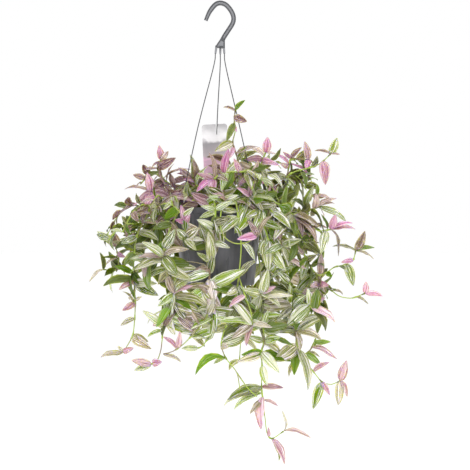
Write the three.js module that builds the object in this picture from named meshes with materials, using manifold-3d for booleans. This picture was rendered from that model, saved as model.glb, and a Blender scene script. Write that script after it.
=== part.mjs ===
// A tradescantia in a hanging pot. Millimetres, +Z up, the viewer looks along +Y.
// The origin is the seat of the hook: the flat land inside the top of its crook.
import * as THREE from 'three';
import { mergeVertices } from 'three/addons/utils/BufferGeometryUtils.js';
import Module from 'manifold-3d';

const wasm = await Module();
wasm.setup();

// Pot and soil
const POT_X = -4; // the pot's axis hangs a little left of the hook's seat
const RIM_Z = -338;
const RIM_R = 75;
const POT_HEIGHT = 128;
const BASE_R = 60;
const WALL = 1.7;
const BAND_HEIGHT = 9.5;
const BAND_STEP = 2.6;
const FLOOR = 2.4;
const DRAIN_R = 4;
const DRAIN_PITCH_R = 36;
const DRAIN_COUNT = 4;
const SOIL_Z = -348;
const SOIL_GAP = 0.4;
const ROUND_SIDES = 32;

// Hook, yoke and strands
const HOOK_WIDTH = 7.7;
const HOOK_DEPTH = 6;
const BEAK_STEPS = 5;
const SHANK_STEPS = 11;
const FLANGE = 1.9;
const WEB = 2.6;
const LAND_LEFT = 2.6; // the flat land reaches this far left of the seat
const LAND_RIGHT = 1.4;
const YOKE_FRONT = -5;
const YOKE_BACK = 9;
const SLEEVE_R = 1.9;
const SLEEVE_BORE_R = 1.2;
const STRAND_R = 0.8;
const STRAND_STEPS = 9;
const CLIP_WIDTH = 7;
const CLIP_WALL = 1.6;
const CLIP_LEG = 8;
const CLIP_GAP = 0.4;
const STRAND_ANGLES = { left: 213, right: 333, rear: 93 };

// Plant label
const LABEL_WIDTH = 43;
const LABEL_TOP_Z = -196;
const LABEL_X = -11;
const LABEL_Y = 38.5;
const LABEL_TILT = 3;
const LABEL_BODY = 138;
const LABEL_STAKE = 176;
const LABEL_THICKNESS = 0.8;
const STAKE_WIDTH = 13;
const STAKE_POINT = 14;
const SHOULDER = 6;
const LABEL_CORNER = 5;
const CORNER_STEPS = 4;
const SLIT_X = 4.1;
const SLIT_WIDTH = 2.8;
const SLIT_DEPTH = 18;
const SLOT_GAP = 0.5;

// Stems and leaves
const STEM_R = 1.4;
const STEM_TIP_R = 0.8;
const STEM_SIDES = 4;
const BRANCH_SHARE = 0.8; // thickness of a side shoot where it leaves its stem
const HOLE_DEPTH = 12;
const HOLE_GAP = 0.6;
const LEAF_THICKNESS = 1.2;
const LEAF_FOLD = 0.22; // how far the edges stand above the midrib, for each mm of half width
const LEAF_BOW = 0.11; // rise of the arched blade for each mm of its length
const LEAF_SLIMNESS = 0.34; // least width for each mm of length
const LEAF_FULLNESS = 1.15; // a blade's real width for each mm of the flat width placed by hand
const HAND_SWAY = 0.06; // most sideways bend, each mm of length
const LEAF_CLEARANCE = 0.35;
const ROOT_SINK = 1.8; // how far a leaf's root lies back inside its stem
const LEAF_SECTIONS = [[0.16, 0.7], [0.44, 1], [0.76, 0.6]]; // place along the blade, share of the width
const SMALL_LEAF_SECTIONS = [[0.24, 0.86], [0.62, 0.92]];
const TINY_LEAF_SECTIONS = [[0.42, 1]];
const SMALL_LEAF = 58; // leaves shorter than this have two sections
const TINY_LEAF = 27; // and leaves shorter than this have one
const ROOT_SHARE = 0.06; // how much of a blade below its outer part stays out of the crossing test
const DEPTH_TRIES = [0, -8, 8, -16, 16, -26, 26, 38];
const TURN_TRIES = [0, 28, -28, 56, -56, 95, -95, 140];

// Leaves that follow the rule, angles in degrees
const BARE_SHARE = 0.34; // bare lower part of such a stem
const SWING_SPREAD = 60;
const REACH_LEAST = 0.78;
const REACH_SPREAD = 0.4;
const LIFT_LEAST = 52;
const LIFT_SPREAD = 16;
const ROLL_SPREAD = 50;
const OUTWARD_LEAN = 0.35;
const DROOP = 0.22;
const RULE_SLIMNESS = 0.36;
const RULE_SWAY = 0.04;

const COLOURS = {
  pot: 0x2c2d2f, soil: 0x3a2a20, hook: 0x86878a, strand: 0x77787a, label: 0xe4e2e4,
  green: 0x86a05a, white: 0xc8d2a8, pink: 0xd48fc0, mauve: 0x9c8078, vivid: 0x5d8a1c,
};

const degrees = THREE.MathUtils.degToRad;

// Solids: a closed geometry becomes a solid that can be joined and cut, and back
function solidOf(geometry) {
  const bare = geometry.clone();
  bare.deleteAttribute('normal');
  bare.deleteAttribute('uv');
  const merged = mergeVertices(bare, 1e-4);
  const vertProperties = Float32Array.from(merged.attributes.position.array);
  const triVerts = Uint32Array.from(merged.index.array);
  return new wasm.Manifold(new wasm.Mesh({ numProp: 3, vertProperties, triVerts }));
}

function geometryOf(solid) {
  const mesh = solid.getMesh();
  const geometry = new THREE.BufferGeometry();
  geometry.setAttribute('position', new THREE.BufferAttribute(mesh.vertProperties, 3));
  geometry.setIndex(new THREE.BufferAttribute(mesh.triVerts, 1));
  return geometry;
}

// Rings of points, each with as many as the last, skinned and capped into one closed geometry
function skin(rings, caps) {
  const sides = rings[0].length;
  const positions = rings.flat().flatMap((point) => point.toArray());
  const triangles = [];
  for (let ring = 0; ring + 1 < rings.length; ring += 1) {
    for (let side = 0; side < sides; side += 1) {
      const here = ring * sides + side;
      const next = ring * sides + (side + 1) % sides;
      triangles.push(here, next, next + sides, here, next + sides, here + sides);
    }
  }
  const last = (rings.length - 1) * sides;
  for (const [a, b, c] of caps) {
    triangles.push(a, c, b, last + a, last + b, last + c);
  }
  return closedGeometry(positions, triangles);
}

function closedGeometry(positions, triangles) {
  const geometry = new THREE.BufferGeometry();
  geometry.setAttribute('position', new THREE.Float32BufferAttribute(positions, 3));
  geometry.setIndex(triangles);
  return geometry;
}

// A counter-clockwise outline swept along places, turned as little as it can be; up starts its y axis
function sweep(outline, places, up, directions = {}, scales = []) {
  const caps = THREE.ShapeUtils.triangulateShape(outline, []);
  let second = up.clone();
  const rings = places.map((place, index) => {
    const before = places[Math.max(index - 1, 0)];
    const after = places[Math.min(index + 1, places.length - 1)];
    const along = (directions[index] ?? after.clone().sub(before)).clone().normalize();
    second = second.clone().addScaledVector(along, -second.dot(along)).normalize();
    const first = second.clone().cross(along);
    const scale = scales[index] ?? 1;
    return outline.map((point) => place.clone()
      .addScaledVector(first, point.x * scale)
      .addScaledVector(second, point.y * scale));
  });
  return skin(rings, caps);
}

function polygon(radius, sides) {
  return Array.from({ length: sides }, (_, side) => {
    const angle = (2 * Math.PI * side) / sides;
    return new THREE.Vector2(radius * Math.cos(angle), radius * Math.sin(angle));
  });
}

const vector = (x, y, z) => new THREE.Vector3(x, y, z);
const pointsOf = (rows) => rows.map((row) => vector(...row));

// A smooth curve through hand-placed points; place counts the points, so 2.5 is half way from 2 to 3
function curveThrough(rows) {
  const curve = new THREE.CatmullRomCurve3(pointsOf(rows), false, 'catmullrom', 0.5);
  const at = (place) => curve.getPoint(THREE.MathUtils.clamp(place / (rows.length - 1), 0, 1));
  return { at, end: rows.length - 1 };
}

// A stem's jointed path, straight from each joint to the next, with place as above
function jointedPath(rows) {
  const points = pointsOf(rows);
  const end = rows.length - 1;
  const at = (place) => {
    const joint = Math.max(Math.ceil(place) - 1, 0);
    return points[joint].clone().lerp(points[joint + 1], place - joint);
  };
  const alongAt = (place) => {
    const joint = Math.max(Math.ceil(place) - 1, 0);
    return points[joint + 1].clone().sub(points[joint]).normalize();
  };
  const rootAt = (place) => at(place).addScaledVector(alongAt(place), -ROOT_SINK);
  return { at, alongAt, rootAt, end };
}

// Pot: a turned shell with a rolled band at its rim, cut by drain holes
function turned(profile) {
  const points = profile.map(([radius, height]) => new THREE.Vector2(radius, height));
  const geometry = new THREE.LatheGeometry(points, ROUND_SIDES);
  geometry.rotateX(Math.PI / 2);
  geometry.translate(POT_X, 0, RIM_Z);
  return solidOf(geometry);
}

const innerRadius = (depth) => {
  const top = RIM_R - BAND_STEP - WALL;
  return top - ((top - BASE_R + WALL) * depth) / POT_HEIGHT;
};

function makePot() {
  const body = turned([
    [0, -POT_HEIGHT], [BASE_R - 1, -POT_HEIGHT], [BASE_R, -POT_HEIGHT + 1],
    [RIM_R - BAND_STEP, -BAND_HEIGHT - 1], [RIM_R, -BAND_HEIGHT],
    [RIM_R, -1], [RIM_R - 0.8, 0], [RIM_R - 3, 0], [innerRadius(2), -2],
    [innerRadius(POT_HEIGHT - FLOOR), -POT_HEIGHT + FLOOR], [0, -POT_HEIGHT + FLOOR],
  ]);
  let pot = body;
  for (let hole = 0; hole < DRAIN_COUNT; hole += 1) {
    const angle = (2 * Math.PI * (hole + 0.5)) / DRAIN_COUNT;
    const drain = new THREE.CylinderGeometry(DRAIN_R, DRAIN_R, 4 * FLOOR, 8);
    drain.rotateX(Math.PI / 2);
    drain.translate(
      POT_X + DRAIN_PITCH_R * Math.cos(angle), DRAIN_PITCH_R * Math.sin(angle), RIM_Z - POT_HEIGHT + FLOOR / 2,
    );
    pot = pot.subtract(solidOf(drain));
  }
  return pot;
}

// Strands: from a sleeve under the yoke to a clip over the rim
function rimPoint(angle, radius, height) {
  const turn = degrees(angle);
  return vector(POT_X + radius * Math.cos(turn), radius * Math.sin(turn), RIM_Z + height);
}

const STRAND_SEAT_R = RIM_R - 2;
const strandPaths = {
  left: [[-6.9, -2.4, -67.5], [-8.6, -3, -81], [-12.2, -5.2, -105], [-37.5, -20, -205]],
  right: [[5.2, -2.4, -67.5], [6.3, -3, -81], [9.2, -4.8, -105], [32, -18.4, -205]],
  rear: [[-0.5, 5.6, -67.5], [-0.6, 6.6, -81], [-1, 12, -105], [-6.5, 38.6, -205]],
};
for (const side of Object.keys(strandPaths)) {
  strandPaths[side].push(rimPoint(STRAND_ANGLES[side], STRAND_SEAT_R, CLIP_GAP + CLIP_WALL / 2).toArray());
}

function strandRod(side, radius, from, to, steps) {
  const curve = curveThrough(strandPaths[side]);
  const places = Array.from({ length: steps + 1 }, (_, step) => curve.at(from + ((to - from) * step) / steps));
  return solidOf(sweep(polygon(radius, 6), places, vector(0, 1, 0)));
}

function makeClip(angle) {
  const inner = innerRadius(CLIP_LEG) - 2 * CLIP_GAP;
  const outer = RIM_R + CLIP_GAP;
  const nub = RIM_R - 1.9;
  const under = -BAND_HEIGHT - 1.2;
  const outline = [
    [inner, CLIP_GAP], [inner, -CLIP_LEG], [inner - CLIP_WALL, -CLIP_LEG], [inner - CLIP_WALL, CLIP_GAP + CLIP_WALL],
    [outer + CLIP_WALL, CLIP_GAP + CLIP_WALL], [outer + CLIP_WALL, under - 1.4], [nub, under - 1.4],
    [nub, under], [outer, under], [outer, CLIP_GAP],
  ].map(([radius, height]) => new THREE.Vector2(radius, height));
  const plate = new THREE.ExtrudeGeometry(new THREE.Shape(outline), { depth: CLIP_WIDTH, bevelEnabled: false });
  plate.translate(0, 0, -CLIP_WIDTH / 2);
  plate.rotateX(Math.PI / 2);
  plate.rotateZ(degrees(angle));
  plate.translate(POT_X, 0, RIM_Z);
  return solidOf(plate);
}

function makeStrand(side) {
  const startInSocket = 0.25;
  const rod = strandRod(side, STRAND_R, startInSocket, strandPaths[side].length - 1, STRAND_STEPS);
  return rod.add(makeClip(STRAND_ANGLES[side]));
}

// Hook: an I-section along a crook with a short straight land at its top, above a yoke with sleeves
function hookSection() {
  const edge = HOOK_WIDTH / 2;
  const lip = edge - FLANGE;
  const face = HOOK_DEPTH / 2;
  const web = WEB / 2;
  return [
    [-edge, -face], [-lip, -face], [-lip + 0.3, -web], [lip - 0.3, -web], [lip, -face], [edge, -face],
    [edge, face], [lip, face], [lip - 0.3, web], [-lip + 0.3, web], [-lip, face], [-edge, face],
  ].map(([x, y]) => new THREE.Vector2(x, y));
}

function makeCrook() {
  const level = HOOK_WIDTH / 2;
  const beak = [[-LAND_LEFT, 0, level], [-8, 0, 1.6], [-14.3, 0, -5], [-19.7, 0, -13.5], [-24.2, 0, -24]];
  const shank = [
    [LAND_RIGHT, 0, level], [7.4, 0, 1.6], [12.6, 0, -2.8], [18.7, 0, -11.5], [21.6, 0, -20.5], [20.2, 0, -29.8],
    [13.4, 0, -41], [6, 0, -52.4], [2, 0, -60],
  ];
  const sample = (rows, steps) => {
    const curve = curveThrough(rows);
    return Array.from({ length: steps + 1 }, (_, step) => curve.at((curve.end * step) / steps));
  };
  const left = sample(beak, BEAK_STEPS).reverse();
  const right = sample(shank, SHANK_STEPS);
  const places = [...left, ...right];
  const levelRun = { [left.length - 1]: vector(1, 0, 0), [left.length]: vector(1, 0, 0) };
  return solidOf(sweep(hookSection(), places, vector(0, 1, 0), levelRun));
}

function blockOf(rows, front, back) {
  const outline = rows.map(([x, z]) => new THREE.Vector2(x, z));
  const block = new THREE.ExtrudeGeometry(new THREE.Shape(outline), { depth: back - front, bevelEnabled: false });
  block.rotateX(Math.PI / 2);
  block.translate(0, back, 0);
  return solidOf(block);
}

function makeHook() {
  const yoke = blockOf([[-8.8, -70.4], [7.2, -71.6], [7.2, -57.5], [1.2, -54], [-8.8, -69]], YOKE_FRONT, YOKE_BACK);
  const pocket = blockOf([[-4.4, -68], [4.4, -68.8], [4.4, -61.5], [1, -60]], YOKE_FRONT - 1, YOKE_FRONT + 1.4);
  let hook = makeCrook().add(yoke).subtract(pocket);
  for (const side of Object.keys(strandPaths)) {
    hook = hook.add(strandRod(side, SLEEVE_R, -0.1, 1, 2));
  }
  for (const side of Object.keys(strandPaths)) {
    hook = hook.subtract(strandRod(side, SLEEVE_BORE_R, 0.12, 1.3, 4));
  }
  return hook;
}

// Plant label: a card with rounded top corners, a slit from its top edge and a pointed stake
function labelSolid(outline, thickness) {
  const options = { depth: thickness, bevelEnabled: false, curveSegments: CORNER_STEPS };
  const card = new THREE.ExtrudeGeometry(outline, options);
  card.translate(0, 0, -thickness / 2);
  card.rotateX(Math.PI / 2);
  card.rotateY(degrees(-LABEL_TILT));
  card.translate(LABEL_X, LABEL_Y, LABEL_TOP_Z);
  return solidOf(card);
}

function makeLabel() {
  const half = LABEL_WIDTH / 2;
  const stake = STAKE_WIDTH / 2;
  const slit = SLIT_WIDTH / 2;
  const outline = new THREE.Shape();
  outline.moveTo(0, -LABEL_STAKE);
  outline.lineTo(stake, -LABEL_STAKE + STAKE_POINT);
  outline.lineTo(stake, -LABEL_BODY - SHOULDER);
  outline.lineTo(half, -LABEL_BODY);
  outline.lineTo(half, -LABEL_CORNER);
  outline.absarc(half - LABEL_CORNER, -LABEL_CORNER, LABEL_CORNER, 0, Math.PI / 2);
  outline.lineTo(SLIT_X + slit, 0);
  outline.lineTo(SLIT_X + slit, -SLIT_DEPTH);
  outline.lineTo(SLIT_X - slit, -SLIT_DEPTH);
  outline.lineTo(SLIT_X - slit, 0);
  outline.absarc(-half + LABEL_CORNER, -LABEL_CORNER, LABEL_CORNER, Math.PI / 2, Math.PI);
  outline.lineTo(-half, -LABEL_BODY);
  outline.lineTo(-stake, -LABEL_BODY - SHOULDER);
  outline.lineTo(-stake, -LABEL_STAKE + STAKE_POINT);
  return labelSolid(outline, LABEL_THICKNESS);
}

function labelSlot() {
  const half = STAKE_WIDTH / 2 + SLOT_GAP;
  const bottom = -LABEL_STAKE - 4 * SLOT_GAP;
  const slot = new THREE.Shape();
  slot.moveTo(-half, bottom);
  slot.lineTo(half, bottom);
  slot.lineTo(half, -LABEL_BODY);
  slot.lineTo(-half, -LABEL_BODY);
  return labelSolid(slot, LABEL_THICKNESS + 2 * SLOT_GAP);
}

// Soil: a plug that fills the pot, with a plain hole for each stem and a slot for the label's stake
function makeSoil(roots) {
  const top = RIM_Z - SOIL_Z;
  const bottom = POT_HEIGHT - FLOOR - SOIL_GAP;
  let soil = turned([
    [0, -bottom], [innerRadius(bottom) - SOIL_GAP, -bottom], [innerRadius(top) - SOIL_GAP, -top], [0, -top],
  ]).subtract(labelSlot());
  for (const [x, y] of roots) {
    const places = [vector(x, y, SOIL_Z - HOLE_DEPTH), vector(x, y, SOIL_Z + 1)];
    soil = soil.subtract(solidOf(sweep(polygon(STEM_R + HOLE_GAP, STEM_SIDES), places, vector(0, 1, 0))));
  }
  return soil;
}

// Seeded draws, the same on every run
function makeDraws(seed) {
  let state = seed;
  return () => {
    state = (state * 48271) % 2147483647;
    return state / 2147483647;
  };
}

// Leaf: an arched blade with a folded midrib, four corners to a section, from a point on its stem's axis
function leafFrame(leaf) {
  const along = leaf.tip.clone().sub(leaf.base);
  const length = along.length();
  along.normalize();
  const toward = leaf.toward.clone().addScaledVector(along, -leaf.toward.dot(along)).normalize();
  const level = toward.clone().cross(along);
  const turn = leaf.roll * (leaf.signed || level.z >= 0 ? 1 : -1);
  const face = toward.multiplyScalar(Math.cos(turn)).addScaledVector(level, Math.sin(turn));
  const side = face.clone().cross(along);
  return { length, face, side };
}

function sectionsOf(length) {
  if (length < TINY_LEAF) {
    return TINY_LEAF_SECTIONS;
  }
  return length < SMALL_LEAF ? SMALL_LEAF_SECTIONS : LEAF_SECTIONS;
}

function leafSolid(leaf, grow = 0, outerOnly = false) {
  const { length, face, side } = leafFrame(leaf);
  const middle = (share) => leaf.base.clone().lerp(leaf.tip, share)
    .addScaledVector(face, 4 * LEAF_BOW * length * share * (1 - share))
    .addScaledVector(side, 4 * leaf.sway * length * share * (1 - share));
  const positions = [];
  const allSections = sectionsOf(length);
  const sections = outerOnly ? allSections.slice(-Math.max(allSections.length - 1, 1)) : allSections;
  positions.push(outerOnly ? middle(sections[0][0] - ROOT_SHARE) : leaf.base);
  for (const [share, breadth] of sections) {
    const half = (leaf.width * breadth) / 2;
    const lift = half * LEAF_FOLD;
    const thick = LEAF_THICKNESS / 2 + grow;
    const centre = middle(share);
    const corners = [[-half - grow, lift], [0, -thick], [half + grow, lift], [0, thick]];
    for (const [x, y] of corners) {
      positions.push(centre.clone().addScaledVector(side, x).addScaledVector(face, y));
    }
  }
  positions.push(leaf.tip);
  const triangles = [];
  const last = positions.length - 1;
  for (let corner = 0; corner < 4; corner += 1) {
    const next = (corner + 1) % 4;
    triangles.push(0, 1 + next, 1 + corner, last, last - 4 + corner, last - 4 + next);
    for (let band = 0; band + 1 < sections.length; band += 1) {
      const here = 1 + band * 4 + corner;
      const beside = 1 + band * 4 + next;
      if (corner < 2) {
        triangles.push(here, beside, beside + 4, here, beside + 4, here + 4);
      } else {
        triangles.push(here, beside, here + 4, beside, beside + 4, here + 4);
      }
    }
  }
  return solidOf(closedGeometry(positions.flatMap((point) => point.toArray()), triangles));
}

// Shoots. Each has a path from its root or its parent and leaves placed by hand: where on the path,
// the tip, the width that the viewer sees, the mood and a sideways sway. More leaves follow the rule.
const shoots = [
  {
    stem: 'stem_crown_tall',
    path: [[10, -8, -348], [18, -10, -320], [26, -14, -290], [29, -18, -262], [25, -20, -245], [20, -22, -230],
      [24, -22, -213], [23, -22, -198], [23, -22, -188], [24.5, -22, -177]],
    leaves: [
      [9, [4, -26, -172], 5, 'mauve'], [9, [41, -30, -160], 7, 'green'], [8, [44, -34, -196], 12, 'pink'],
      [7, [10, -36, -229], 10, 'vivid'], [6.6, [27, -36, -214], 5, 'pink'], [5, [-10, -40, -246], 14, 'white'],
      [4.5, [14, -38, -258], 8, 'pink'], [3.2, [43, -28, -236], 9, 'green'], [3, [7, -44, -283], 12, 'green'],
      [2.8, [62, -40, -277], 15, 'mauve'], [1.6, [-2, -36, -312], 12, 'green'],
      [2, [52, -34, -306], 12, 'green'], [2.3, [2, -40, -292], 10, 'mauve'],
    ],
  },
  {
    stem: 'stem_crown_arch',
    path: [[40, -22, -348], [56, -36, -312], [60, -46, -290], [42, -56, -280], [16, -62, -280], [0, -64, -284],
      [-11, -65, -292]],
    leaves: [
      [6, [-38, -72, -283], 9, 'pink'], [6, [-39, -76, -313], 10, 'pink'], [6, [-16, -82, -323], 13, 'pink'],
      [5.7, [-19, -74, -249], 8, 'mauve'], [4.6, [14, -76, -242], 12, 'pink'], [4.4, [2, -86, -312], 12, 'green'],
      [2.2, [30, -72, -302], 10, 'mauve'], [3.4, [22, -76, -258], 9, 'pink'],
      [1, [86, -54, -318], 10, 'green'], [5.4, [14, -84, -296], 10, 'green'], [3, [52, -76, -312], 11, 'green'],
    ],
  },
  {
    stem: 'stem_crown_left',
    path: [[-14, 6, -348], [-26, 2, -322], [-38, -4, -303], [-48, -8, -288]],
    leaves: [
      [3, [-51, -16, -249], 8, 'green'], [2.6, [-46, -24, -257], 9, 'mauve'], [3, [-70, -20, -271], 10, 'mauve'],
      [3, [-73, -10, -281], 6, 'pink'], [2.5, [-62, -34, -292], 7, 'pink'], [2, [-28, -20, -281], 8, 'mauve'],
      [1.5, [-12, -24, -300], 12, 'green'], [1.5, [-64, -32, -318], 12, 'green'], [1, [-30, -42, -324], 12, 'green'],
    ],
  },
  {
    stem: 'stem_left_high',
    path: [[-36, 8, -348], [-50, 4, -318], [-75, 0, -304], [-92, -2, -293], [-101, -6, -281], [-105, -8, -272],
      [-99, -12, -258]],
    leaves: [
      [6, [-102, -18, -234], 11, 'pink'], [6, [-86, -24, -244], 9, 'mauve'], [5, [-74, -24, -255], 14, 'mauve'],
      [5.8, [-114, -14, -270], 4, 'mauve'], [5, [-131, -12, -278], 5, 'mauve'], [3, [-118, -16, -299], 12, 'mauve'],
      [2.2, [-82, -14, -282], 8, 'mauve'], [2.6, [-104, -16, -306], 7, 'mauve'],
    ],
  },
  {
    stem: 'stem_left_pink',
    path: [[-50, -12, -348], [-68, -16, -322], [-90, -22, -318], [-105, -25, -316], [-115, -28, -311]],
    leaves: [
      [4, [-121, -34, -280], 14, 'pink'], [4, [-139, -36, -330], 10, 'pink'], [4, [-122, -42, -343], 13, 'pink'],
      [4, [-159, -34, -308], 5, 'mauve'], [2, [-54, -48, -317], 11, 'mauve'], [2.5, [-96, -44, -340], 12, 'green'],
      [1.4, [-92, -44, -302], 11, 'mauve'],
    ],
  },
  {
    stem: 'stem_left_thin',
    path: [[-50, 4, -348], [-69, 5, -326], [-95, 8, -328], [-118, 6, -338], [-139, 4, -334]],
    leaves: [
      [4, [-170, 0, -348], 6, 'mauve'], [4, [-159, 10, -331], 4, 'mauve'], [3.6, [-121, -8, -350], 6, 'pink'],
      [3, [-108, -10, -358], 10, 'green'], [2, [-80, -10, -346], 12, 'green'], [1.5, [-60, -12, -300], 9, 'green'],
    ],
  },
  {
    stem: 'stem_left_long',
    path: [[-46, -26, -348], [-68, -36, -325], [-95, -44, -323], [-113, -48, -333], [-121, -50, -351],
      [-130, -52, -368], [-137, -52, -386], [-141, -50, -412], [-143, -48, -445], [-142, -46, -462],
      [-140, -44, -490], [-141, -42, -520], [-144, -40, -547], [-152, -38, -563], [-161, -36, -577]],
    leaves: [
      [8.5, [-192, -60, -467], 13, 'vivid'], [8, [-174, -52, -434], 9, 'vivid'], [8.8, [-166, -66, -473], 10, 'pink'],
      [10.2, [-161, -54, -507], 10, 'pink'], [10, [-129, -48, -484], 5, 'mauve'], [12, [-118, -46, -559], 8, 'mauve'],
      [12.3, [-113, -54, -570], 14, 'mauve'], [13.9, [-142, -52, -568], 9, 'pink'], [14, [-198, -40, -585], 8, 'mauve'],
      [13.8, [-170, -34, -566], 6, 'mauve'], [10.3, [-162, -40, -476], 3, 'mauve'], [6, [-163, -60, -397], 12, 'green'],
      [7, [-158, -62, -432], 14, 'vivid'], [8, [-112, -66, -424], 12, 'green'], [8.7, [-101, -62, -482], 17, 'green'],
      [9, [-103, -64, -462], 13, 'green'], [3, [-98, -68, -347], 12, 'green'], [4.6, [-98, -72, -366], 9, 'mauve'],
      [5.5, [-100, -80, -392], 12, 'green'], [2, [-70, -64, -346], 12, 'green'], [11, [-164, -50, -532], 8, 'mauve'],
      [6.6, [-112, -70, -400], 10, 'white'],
    ],
  },
  {
    stem: 'stem_left_far',
    path: [[-50, 18, -348], [-70, 26, -324], [-100, 32, -334], [-125, 32, -365], [-147, 28, -402], [-162, 24, -432],
      [-172, 20, -441], [-171, 18, -424], [-176, 16, -402]],
    leaves: [
      [8, [-207, 10, -377], 12, 'white'], [8, [-179, 0, -377], 18, 'mauve'], [7.2, [-192, 8, -434], 4, 'mauve'],
      [7.5, [-158, 2, -420], 8, 'pink'], [4, [-128, 10, -424], 11, 'green'], [3, [-146, 14, -350], 6, 'green'],
      [2, [-110, 10, -366], 12, 'green'],
    ],
  },
  {
    stem: 'stem_left_far',
    path: [[-162, 24, -432], [-178, 26, -442], [-197, 24, -441]],
    leaves: [
      [2, [-203, 18, -412], 7, 'vivid'], [2, [-221, 20, -462], 5, 'mauve'], [1.2, [-181, 18, -480], 5, 'green', 0.12],
    ],
  },
  {
    stem: 'stem_left_small',
    path: [[-46, 30, -348], [-64, 38, -325], [-92, 44, -338], [-118, 46, -368], [-134, 44, -387], [-148, 40, -377],
      [-153, 38, -369]],
    leaves: [
      [6, [-167, 32, -351], 10, 'green'], [5.4, [-166, 36, -378], 4, 'mauve'], [4.6, [-160, 30, -391], 7, 'pink'],
      [5, [-142, 30, -352], 6, 'mauve'], [3, [-98, 30, -392], 12, 'green'], [2, [-112, 40, -330], 10, 'green'],
    ],
  },
  {
    stem: 'stem_pink_front',
    path: [[-36, -36, -348], [-58, -54, -323], [-80, -68, -322], [-77, -84, -334], [-65, -94, -347], [-57, -97, -362],
      [-56, -96, -388]],
    leaves: [
      [5, [-64, -104, -334], 10, 'pink'], [5, [-73, -104, -358], 8, 'pink'], [5, [-48, -108, -350], 10, 'pink'],
      [2.6, [-93, -84, -342], 7, 'white'], [1.6, [-45, -76, -329], 7, 'mauve'], [4.6, [-42, -112, -338], 9, 'white'],
      [6, [-38, -112, -408], 11, 'green'], [6, [-34, -110, -371], 16, 'green'],
      [6, [-26, -108, -392], 9, 'white'], [6, [-70, -108, -373], 14, 'green'], [3.5, [-90, -98, -356], 13, 'vivid'],
    ],
  },
  {
    stem: 'stem_front_left',
    path: [[-24, -44, -348], [-42, -68, -326], [-64, -80, -340], [-78, -84, -365], [-88, -90, -392], [-92, -94, -418],
      [-84, -96, -450], [-75, -95, -478], [-79, -94, -497], [-87, -92, -516], [-93, -90, -533], [-94, -88, -550],
      [-96, -86, -568], [-101, -84, -584], [-112, -83, -593]],
    leaves: [
      [5, [-126, -104, -394], 12, 'white'], [5, [-134, -98, -421], 8, 'mauve'], [5.2, [-138, -106, -440], 12, 'green'],
      [5, [-69, -112, -448], 18, 'green'], [4.9, [-49, -114, -406], 10, 'mauve'], [5.5, [-46, -112, -456], 15, 'green'],
      [4.5, [-72, -112, -373], 15, 'green'], [7, [-101, -104, -498], 12, 'green'], [7, [-46, -110, -454], 9, 'green'],
      [7, [-43, -114, -465], 8, 'pink'], [7.2, [-22, -112, -498], 13, 'mauve'], [7.3, [-46, -108, -504], 10, 'vivid'],
      [8, [-103, -102, -532], 12, 'vivid'], [10, [-126, -98, -505], 11, 'white'], [10.3, [-118, -90, -549], 6, 'green'],
      [14, [-144, -88, -586], 12, 'pink'], [14, [-140, -84, -603], 10, 'green'], [13.8, [-94, -94, -588], 12, 'pink'],
    ],
  },
  {
    stem: 'stem_front_middle',
    path: [[-8, -44, -348], [-10, -72, -326], [-8, -88, -342], [-10, -94, -380], [-15, -96, -425], [-18, -94, -465],
      [-13, -92, -500], [-10, -88, -530], [-12, -86, -548], [-22, -84, -554], [-28, -82, -563], [-36, -80, -567]],
    leaves: [
      [4, [-28, -106, -377], 13, 'green'], [4, [-19, -118, -377], 14, 'green'], [4, [-38, -104, -411], 9, 'green'],
      [5, [41, -112, -438], 20, 'white'], [5.3, [-36, -106, -463], 12, 'mauve'], [6.5, [-51, -104, -527], 4, 'mauve'],
      [6.5, [-54, -100, -538], 12, 'green'], [7, [-79, -98, -520], 12, 'green'], [7.4, [-46, -92, -549], 16, 'green'],
      [11, [-63, -84, -567], 9, 'green'], [2.8, [-38, -106, -358], 12, 'green'], [2.6, [18, -110, -356], 12, 'green'],
      [2, [-32, -102, -336], 9, 'white'], [2, [20, -98, -328], 10, 'green'], [3.4, [16, -112, -404], 9, 'green'],
    ],
  },
  {
    stem: 'stem_front_middle',
    path: [[-13, -92, -500], [-30, -98, -528], [-46, -98, -546], [-61, -96, -561], [-76, -94, -571], [-92, -92, -576]],
    leaves: [
      [3.5, [-65, -104, -537], 9, 'pink'], [3.6, [-93, -100, -547], 7, 'pink'], [5, [-63, -98, -589], 6, 'mauve'],
    ],
  },
  {
    stem: 'stem_front_loop',
    path: [[8, -42, -348], [6, -70, -325], [2, -88, -340], [0, -98, -365], [4, -101, -381], [12, -102, -391],
      [26, -102, -397], [44, -102, -395], [60, -100, -384]],
    leaves: [
      [8, [27, -114, -390], 12, 'pink'], [8, [45, -112, -360], 9, 'mauve'], [2, [30, -104, -345], 10, 'green'],
      [8, [84, -114, -352], 8, 'mauve'], [1, [30, -86, -318], 10, 'green'], [1, [-20, -90, -320], 12, 'green'],
      [3, [-24, -114, -368], 10, 'white'], [6.6, [56, -112, -424], 9, 'green'],
    ],
  },
  {
    stem: 'stem_front_mauve',
    path: [[24, -30, -348], [36, -48, -326], [48, -66, -320]],
    leaves: [
      [2, [34, -86, -363], 13, 'white'], [2, [57, -74, -289], 9, 'mauve'], [2, [26, -80, -306], 8, 'pink'],
      [2, [92, -82, -331], 7, 'green'], [2, [70, -90, -345], 10, 'green'], [1.6, [84, -86, -362], 12, 'green'],
      [1.4, [12, -70, -334], 10, 'green'],
    ],
  },
  {
    stem: 'stem_right_high',
    path: [[30, 4, -348], [46, 2, -318], [60, 0, -290], [66, -4, -272], [70, -6, -257], [75, -8, -246]],
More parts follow.
